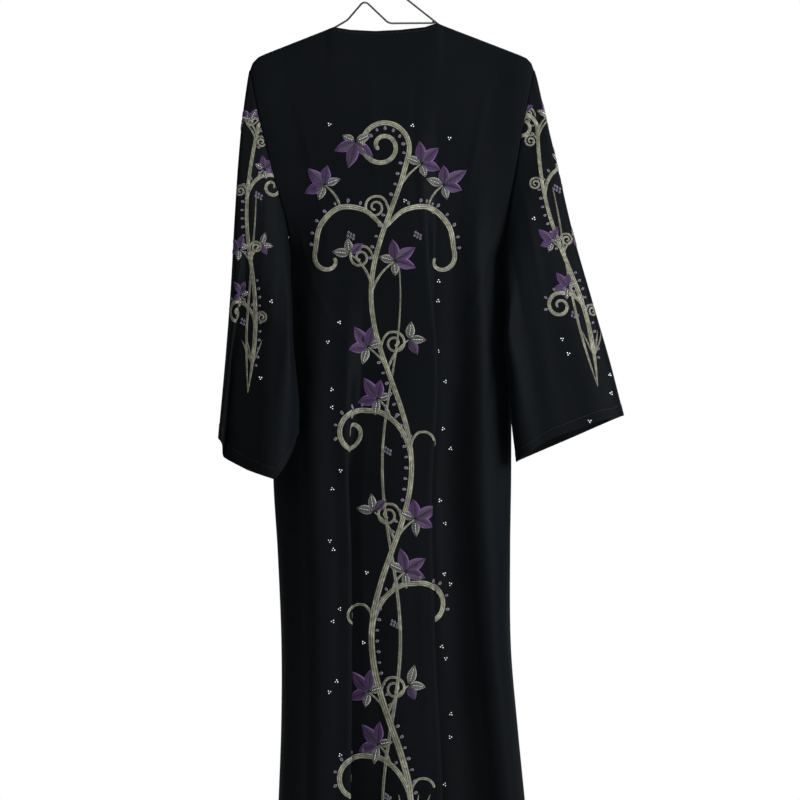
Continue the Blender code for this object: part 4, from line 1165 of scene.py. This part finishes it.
def grown(vine):
    """The stems of one vine, and the tips where its flowers, leaves and grapes are sewn."""
    size = vine.size
    stout, spacing, length = (fixed + each * size for fixed, each in (STOUT, BUD_SPACING, BUD_LENGTH))
    stems, tips = [], []

    def stem(cord, places, curl=None, buds=()):
        stems.append(Stem(places, [w * stout for w in cord.widths], cord.strands, curl, buds, cord.tone))

    def row(side, first, last):
        return Bud(side, first, last, spacing, length)

    def over(drop, rise):
        return stem_place(vine, drop - rise * size)

    def twig(place, side, reach, kind):
        places = shaped(place, side, reach, TWIG_SHAPE)
        stem(TWIG_CORD, places)
        (x0, y0), (x1, y1) = places[-2:]
        tips.append(Tip(kind, places[-1], math.degrees(math.atan2(y1 - y0, x1 - x0))))

    def grapes(place, side, span, spot):
        tips.append(Tip("grapes", shaped(place, side, span, (spot,))[0], DOWNWARD))

    def small_curl(place, side):
        stem(CURL_CORD, shoot(place, side, CURL_REACH * size, CURL_RISE * size),
             (side * CURL_TURNS, CURL_RADIUS * size))

    drops = np.append(np.arange(vine.foot, vine.top, -STEM_STEP), vine.top)
    stem(SECOND_CORD, [stem_place(vine, drop, -BESIDE) for drop in drops if drop > vine.fork + BESIDE_END])
    stem(MAIN_CORD, [stem_place(vine, drop) for drop in drops], (vine.way * HOOK_TURNS, HOOK_RADIUS * size),
         (*(row(*buds) for buds in MAIN_BUDS), row(-vine.way, *HOOK_BUDS)))
    for n in range(1, vine.joints + 1):
        place = stem_place(vine, vine.foot - n * vine.wave / 4)
        side = -1 if n % 4 in (1, 2) else 1
        if n % 2 and n <= TALLEST_SCROLL:
            scroll = SCROLL * size
            stem(SCROLL_CORD, shoot(place, side, SCROLL_REACH * scroll, SCROLL_RISE * scroll),
                 (side * SCROLL_TURNS, SCROLL_RADIUS * scroll), (row(side, *SCROLL_BUDS),))
            twig(shaped(place, side, scroll, (SCROLL_TWIG,))[0], side, SCROLL_FLOWER * size, "flower")
            grapes(place, side, scroll, SCROLL_GRAPES)
            small_curl(over(place[1], CURL_OVER_SCROLL), -side)
        else:
            twig(place, side, JOINT_FLOWER * size, "flower")
            twig(over(place[1], LEAVES_OVER_JOINT), -side, JOINT_LEAVES * size, "leaves")
            small_curl(over(place[1], CURL_OVER_JOINT), -side)
    crown = stem_place(vine, vine.fork)
    if vine.arms:
        for side in (-1, 1):
            stem(ARM_CORD, shaped(crown, side, ARM, ARM_SHAPE), (side * ARM_TURNS, ARM_RADIUS * ARM),
                 (row(side, *ARM_BUDS),))
            twig(shaped(crown, side, ARM, (ARM_TWIG,))[0], side, ARM_FLOWER, "flower")
            grapes(crown, side, ARM, ARM_GRAPES)
    twig(over(vine.fork, FLOWER_OVER_FORK), -vine.way, CROWN_FLOWER * size, "flower")
    small_curl(over(vine.fork, CURL_OVER_FORK), vine.way)
    if vine.arms:
        aside, above = HOOK_FLOWER
        tips.append(Tip("flower", (crown[0] + vine.way * aside, vine.top - above), DOWNWARD))
    for lean in ROOT_LEANS:
        shape = ((0, 0), (ROOT_BEND * lean, ROOT_MIDDLE), (lean, ROOT_RISE))
        stem(ROOT_CORD, shaped(over(vine.foot, ROOTS_OVER_FOOT), 1, size, shape))
    return stems, tips


# A stem that passes a deep fold goes in under its edge and comes out of it on the other side.
UNDER_FOLD = 5
FOLD_EDGES = (("right", 1, 0.065, 0.42), ("left", -1, 0.062, 0.58))


def home_at(name, reach, drop):
    """The home line that a place, in metres, is counted from."""
    if name != "back":
        return "sleeve"
    for home, side, edge, from_drop in FOLD_EDGES:
        if reach * side > edge and drop > from_drop:
            return home
    return "centre"


def stretches(name, line):
    """The stretches of a stem on either side of a deep fold, each with its home."""
    homes, last = [home_at(name, *place) for place in line], len(line) - 1
    far = [n for n, home in enumerate(homes) if home not in ("centre", "sleeve")]
    if not far:
        return [(homes[0], 0, last)]
    return [("centre", 0, min(far[0] + UNDER_FOLD, last)), (homes[far[0]], max(far[0] - UNDER_FOLD, 0), last)]


def part_of(line, stem, first, last):
    """A stretch of a stem with the widths and the rows of buds that fall on it."""
    run = across_line(line)[0]
    low, high = run[first] / run[-1], run[last] / run[-1]
    widths = np.interp(np.linspace(low, high, 9), np.linspace(0, 1, len(stem.widths)), stem.widths)
    rows = [row._replace(first=(max(row.first, low) - low) / (high - low),
                         last=(min(row.last, high) - low) / (high - low))
            for row in stem.buds if row.first < high and row.last > low]
    return line[first:last + 1], widths, rows


back_homes = {"centre": smoothed_out(back_grid, 0.0), "right": smoothed_out(back_grid, 0.09),
              "left": smoothed_out(back_grid, -0.085)}
left_homes = {
    "sleeve": smoothed_out(np.concatenate([left_before[:, :0:-1], left_behind], axis=1), -0.205),
}
right_homes = {
    "sleeve": smoothed_out(np.concatenate([right_behind[:, ::-1], right_before[:, 1:]], axis=1), FINE - 1),
}


def lay_stems(name, stems, homes, cords, buds):
    """Lays the stems of one piece of cloth, each with its curl and its rows of buds."""
    lines = []
    for stem in stems:
        line = smooth_line(stem.places)
        if stem.curl:
            line = curled(line, *stem.curl)
        lines.append(line)
        for home, first, last in stretches(name, line):
            cords.cloth = buds.cloth = homes[home]
            part, widths, rows = part_of(line, stem, first, last)
            lay_cord(cords, part, widths, stem.strands, stem.tone)
            for row in rows:
                bud_row(buds, cords, part, widths, row, stem.tone)
    return np.concatenate(lines)


pieces_of_cloth = (("back", back_homes), ("left_sleeve", left_homes), ("right_sleeve", right_homes))
bud_work, tips, stem_lines = {}, {}, {}
for name, homes in pieces_of_cloth:
    cords, bud_work[name] = Needlework(), Needlework()
    stems, tips[name] = grown(VINES[name])
    stem_lines[name] = lay_stems(name, stems, homes, cords, bud_work[name])
    cords.sewn(name + "_stems", cord_silk)

# Buds and grapes. Small padded drops of lilac-grey silk stand on short stalks along the outer
# side of the stems, and little bunches of purple rings hang beside the curls.
GRAPE_RING = ((0.0, 0.0), (0.52, 0.10), (0.26, -0.46), (-0.26, 0.40), (0.30, 0.55), (0.78, -0.36))
GRAPE = 4.3
bud_silk = bpy.data.materials.new("lilac_grey_buds")
bud_silk.use_nodes = True
add, join, shader = node_maker(bud_silk)
shader.inputs["Roughness"].default_value = 0.45
shader.inputs["Sheen Weight"].default_value = 0.3
shader.inputs["Specular IOR Level"].default_value = 0.5
run, share, tone = (named_place(add, title) for title in ("run", "share", "tone"))
stitch = stitched(add, join, shader, run, 10, 0.0006, 0.0002)
ring, strength = add("SeparateXYZ"), add("SeparateXYZ")
join(share, "UV", ring, "Vector")
join(tone, "UV", strength, "Vector")
lilac = ramp(add, ((0.0, (0.015, 0.008, 0.025)), (0.30, (0.035, 0.022, 0.055)), (0.55, (0.12, 0.09, 0.15)),
                   (0.85, (0.17, 0.14, 0.20)), (1.0, (0.05, 0.04, 0.07))))
shown = ramp(add, ((0.0, (0.15, 0.15, 0.15)), (0.6, (0.75, 0.72, 0.75)), (1.0, (1.0, 1.0, 1.0))))
thread = ramp(add, ((0.1, (0.55, 0.55, 0.55)), (0.7, (1.0, 1.0, 1.0))))
join(ring, "X", lilac, "Fac")
join(strength, "X", shown, "Fac")
join(stitch, "Fac", thread, "Fac")
colour = blended(bud_silk, "MULTIPLY", 1.0, lilac.outputs["Color"], shown.outputs["Color"])
colour = blended(bud_silk, "MULTIPLY", 1.0, colour, thread.outputs["Color"])
bud_silk.node_tree.links.new(colour, shader.inputs["Base Color"])
for name, homes in pieces_of_cloth:
    work = bud_work[name]
    for tip in tips[name]:
        if tip.kind != "grapes":
            continue
        work.cloth = homes[home_at(name, tip.place[0] / 100, tip.place[1] / 100)]
        lean = math.radians(tip.facing)
        for ahead, aside in GRAPE_RING:
            reach = tip.place[0] / 100 + GRAPE / 450 * (ahead * math.cos(lean) - aside * math.sin(lean))
            drop = tip.place[1] / 100 + GRAPE / 450 * (ahead * math.sin(lean) + aside * math.cos(lean))
            lay_bud(work, work, (reach, drop), lean, GRAPE / 1000, GRAPE / 1150, 0.85)
    work.sewn(name + "_buds", bud_silk)

# Petals and leaves. Flowers of padded violet satin stitch and pointed silver-grey leaves are
# sewn at the stems' ends. Each has a sunk vein, and the stitches slant from it to the edges.
# Each blade turns from the way its twig points, and no two flowers are quite alike.
Blade = namedtuple("Blade", "kind turn length width bend")
SPRAYS = {
    "flower": (Blade("petal", -52, 3.3, 1.8, -12), Blade("petal", 4, 3.9, 2.0, 8),
               Blade("petal", 58, 3.3, 1.8, 12),
               Blade("leaf", -112, 2.7, 1.4, -8), Blade("leaf", 118, 2.4, 1.3, 8)),
    "leaves": (Blade("leaf", -34, 2.9, 1.5, -8), Blade("leaf", 40, 2.6, 1.4, 8),
               Blade("petal", 100, 2.6, 1.5, 10)),
}
BLADE_CHANCE = random.Random(3)
VEIN_PITCH = 0.0034
BLADE_FOOT = 0.16


def satin(name, vein_colours, roughness, sheen):
    """Satin-stitch silk: coloured from the vein out to the edge, with fine slanting stitches."""
    silk = bpy.data.materials.new(name)
    silk.use_nodes = True
    add, join, shader = node_maker(silk)
    shader.inputs["Roughness"].default_value = roughness
    shader.inputs["Sheen Weight"].default_value = sheen
    shader.inputs["Specular IOR Level"].default_value = 0.30
    run, share, tone = (named_place(add, title) for title in ("run", "share", "tone"))
    stitch = stitched(add, join, shader, run, 0, 0.0006, 0.0002)
    axes, strength, out = add("SeparateXYZ"), add("SeparateXYZ"), add("Math")
    out.operation = "ABSOLUTE"
    join(share, "UV", axes, "Vector")
    join(axes, "Y", out, 0)
    join(tone, "UV", strength, "Vector")
    from_vein = ramp(add, vein_colours)
    shown = ramp(add, ((0.0, (0.10, 0.10, 0.12)), (0.5, (0.45, 0.45, 0.46)), (1.0, (1.0, 1.0, 1.0))))
    from_base = ramp(add, ((0.0, (0.72, 0.72, 0.74)), (0.5, (0.92, 0.92, 0.92)), (1.0, (1.0, 1.0, 1.0))))
    thread = ramp(add, ((0.1, (0.55, 0.55, 0.55)), (0.75, (1.0, 1.0, 1.0))))
    veins = add("TexWave", Scale=0.314 / VEIN_PITCH, Distortion=0.6, Detail=1.0)
    side_vein = ramp(add, ((0.10, (0.22, 0.20, 0.22)), (0.42, (1.0, 1.0, 1.0))))
    streak = add("TexNoise", Scale=420.0, Detail=3.0, Roughness=0.6)
    patch = ramp(add, ((0.3, (0.62, 0.62, 0.64)), (0.7, (1.0, 1.0, 1.0))))
    join(out, 0, from_vein, "Fac")
    join(axes, "X", from_base, "Fac")
    join(strength, "X", shown, "Fac")
    join(stitch, "Fac", thread, "Fac")
    join(run, "UV", veins, "Vector")
    join(veins, "Fac", side_vein, "Fac")
    join(run, "UV", streak, "Vector")
    join(streak, "Fac", patch, "Fac")
    colour = from_vein.outputs["Color"]
    for shade in (from_base, shown, side_vein, thread, patch):
        colour = blended(silk, "MULTIPLY", 1.0, colour, shade.outputs["Color"])
    silk.node_tree.links.new(colour, shader.inputs["Base Color"])
    return silk


violet_satin = satin("violet_satin", (
    (0.0, (0.004, 0.001, 0.008)), (0.10, (0.010, 0.002, 0.018)), (0.22, (0.052, 0.009, 0.088)),
    (0.72, (0.078, 0.015, 0.130)), (0.90, (0.310, 0.135, 0.430))), 0.45, 0.05)
silver_satin = satin("silver_leaf_silk", (
    (0.0, (0.02, 0.02, 0.016)), (0.14, (0.04, 0.04, 0.034)), (0.30, (0.12, 0.12, 0.10)),
    (0.68, (0.15, 0.15, 0.125)), (0.88, (0.66, 0.64, 0.52))), 0.42, 0.05)
leaf_veins = {}
for name, homes in pieces_of_cloth:
    petals, leaves, leaf_veins[name] = Needlework(), Needlework(), []
    scale = 0.30 + 0.70 * VINES[name].size
    for tip in tips[name]:
        for blade in SPRAYS.get(tip.kind, ()):
            work = petals if blade.kind == "petal" else leaves
            work.cloth = homes[home_at(name, tip.place[0] / 100, tip.place[1] / 100)]
            angle = tip.facing + blade.turn + BLADE_CHANCE.uniform(-9, 9)
            length = blade.length * scale * BLADE_CHANCE.uniform(0.88, 1.12)
            lean = math.radians(angle)
            base = (tip.place[0] + BLADE_FOOT * math.cos(lean), tip.place[1] + BLADE_FOOT * math.sin(lean))
            spine = lay_leaf(work, base, angle, length, blade.width * scale, blade.bend,
                             BLADE_CHANCE.uniform(0.72, 1.0))
            if blade.kind == "leaf":
                leaf_veins[name].append((work.cloth, spine, length))
    petals.sewn(name + "_petals", violet_satin)
    leaves.sewn(name + "_leaves", silver_satin)

# Beads. Round white glass beads are sewn on in threes all over the embroidered part, and in a
# row along the vein of each silver leaf.
TRIO_BEAD = 0.00100
TRIO_REACH = 0.0021
VEIN_BEAD = 0.00062
VEIN_SPACING = 0.0019
SCATTER = random.Random(7)
# The threes stand in staggered rows, each a little out of its place, and keep off the stems.
Rows = namedtuple("Rows", "first last pitch columns")
TRIO_ROWS = {
    "back": Rows(30, 148, 5.6, (-9.0, -3.4, 2.6, 8.4)),
    "left_sleeve": Rows(31, 70, 5.8, (-2.6, 2.8)),
    "right_sleeve": Rows(32, 73, 5.8, (-2.8, 2.8)),
}
TRIO_STRAY = 1.1
TRIO_CLEAR = 0.012
FLOWER_CLEAR = 0.044
glass = bpy.data.materials.new("white_glass_beads")
glass.use_nodes = True
add, join, shader = node_maker(glass)
shader.inputs["Roughness"].default_value = 0.10
shader.inputs["Coat Weight"].default_value = 0.6
shader.inputs["Subsurface Weight"].default_value = 0.10
shader.inputs["Subsurface Scale"].default_value = 0.0006
place = add("TexCoord")
milky = add("TexNoise", Scale=700.0, Detail=3.0)
pearl = ramp(add, ((0.3, (0.78, 0.79, 0.84)), (0.6, (0.92, 0.92, 0.92)), (0.8, (0.98, 0.97, 0.94))))
join(place, "Object", milky, "Vector")
join(milky, "Fac", pearl, "Fac")
join(pearl, "Color", shader, "Base Color")
for name, homes in pieces_of_cloth:
    beads, rows, vine = Needlework(), TRIO_ROWS[name], VINES[name]
    flowers = np.array([tip.place for tip in tips[name]]) / 100
    for n, level_drop in enumerate(np.arange(rows.first, rows.last, rows.pitch)):
        for k, column_reach in enumerate(rows.columns):
            drop = level_drop + (k + n) % 2 * rows.pitch / 2 + SCATTER.uniform(-TRIO_STRAY, TRIO_STRAY)
            reach = vine.middle + vine.slant * (drop - vine.top) + column_reach
            spot = np.array([reach + SCATTER.uniform(-TRIO_STRAY, TRIO_STRAY), drop]) / 100
            turn = SCATTER.uniform(0, 2 * math.pi)
            if (np.linalg.norm(stem_lines[name] - spot, axis=1).min() < TRIO_CLEAR
                    or np.linalg.norm(flowers - spot, axis=1).min() < FLOWER_CLEAR):
                continue
            beads.cloth = homes[home_at(name, *spot)]
            for m in range(3):
                way = turn + m * 2 * math.pi / 3 + SCATTER.uniform(-0.2, 0.2)
                lay_bead(beads, (spot[0] + TRIO_REACH * math.cos(way), spot[1] + TRIO_REACH * math.sin(way)),
                         TRIO_BEAD * SCATTER.uniform(0.88, 1.1))
    for beads.cloth, spine, length in leaf_veins[name]:
        count = int(length / 100 * 0.52 / VEIN_SPACING)
        for share in np.linspace(0.22, 0.76, max(count, 3)):
            at = share * (len(spine) - 1)
            spot = [np.interp(at, np.arange(len(spine)), spine[:, k]) for k in (0, 1)]
            lay_bead(beads, spot, VEIN_BEAD, 0.0006)
    beads.sewn(name + "_beads", glass)
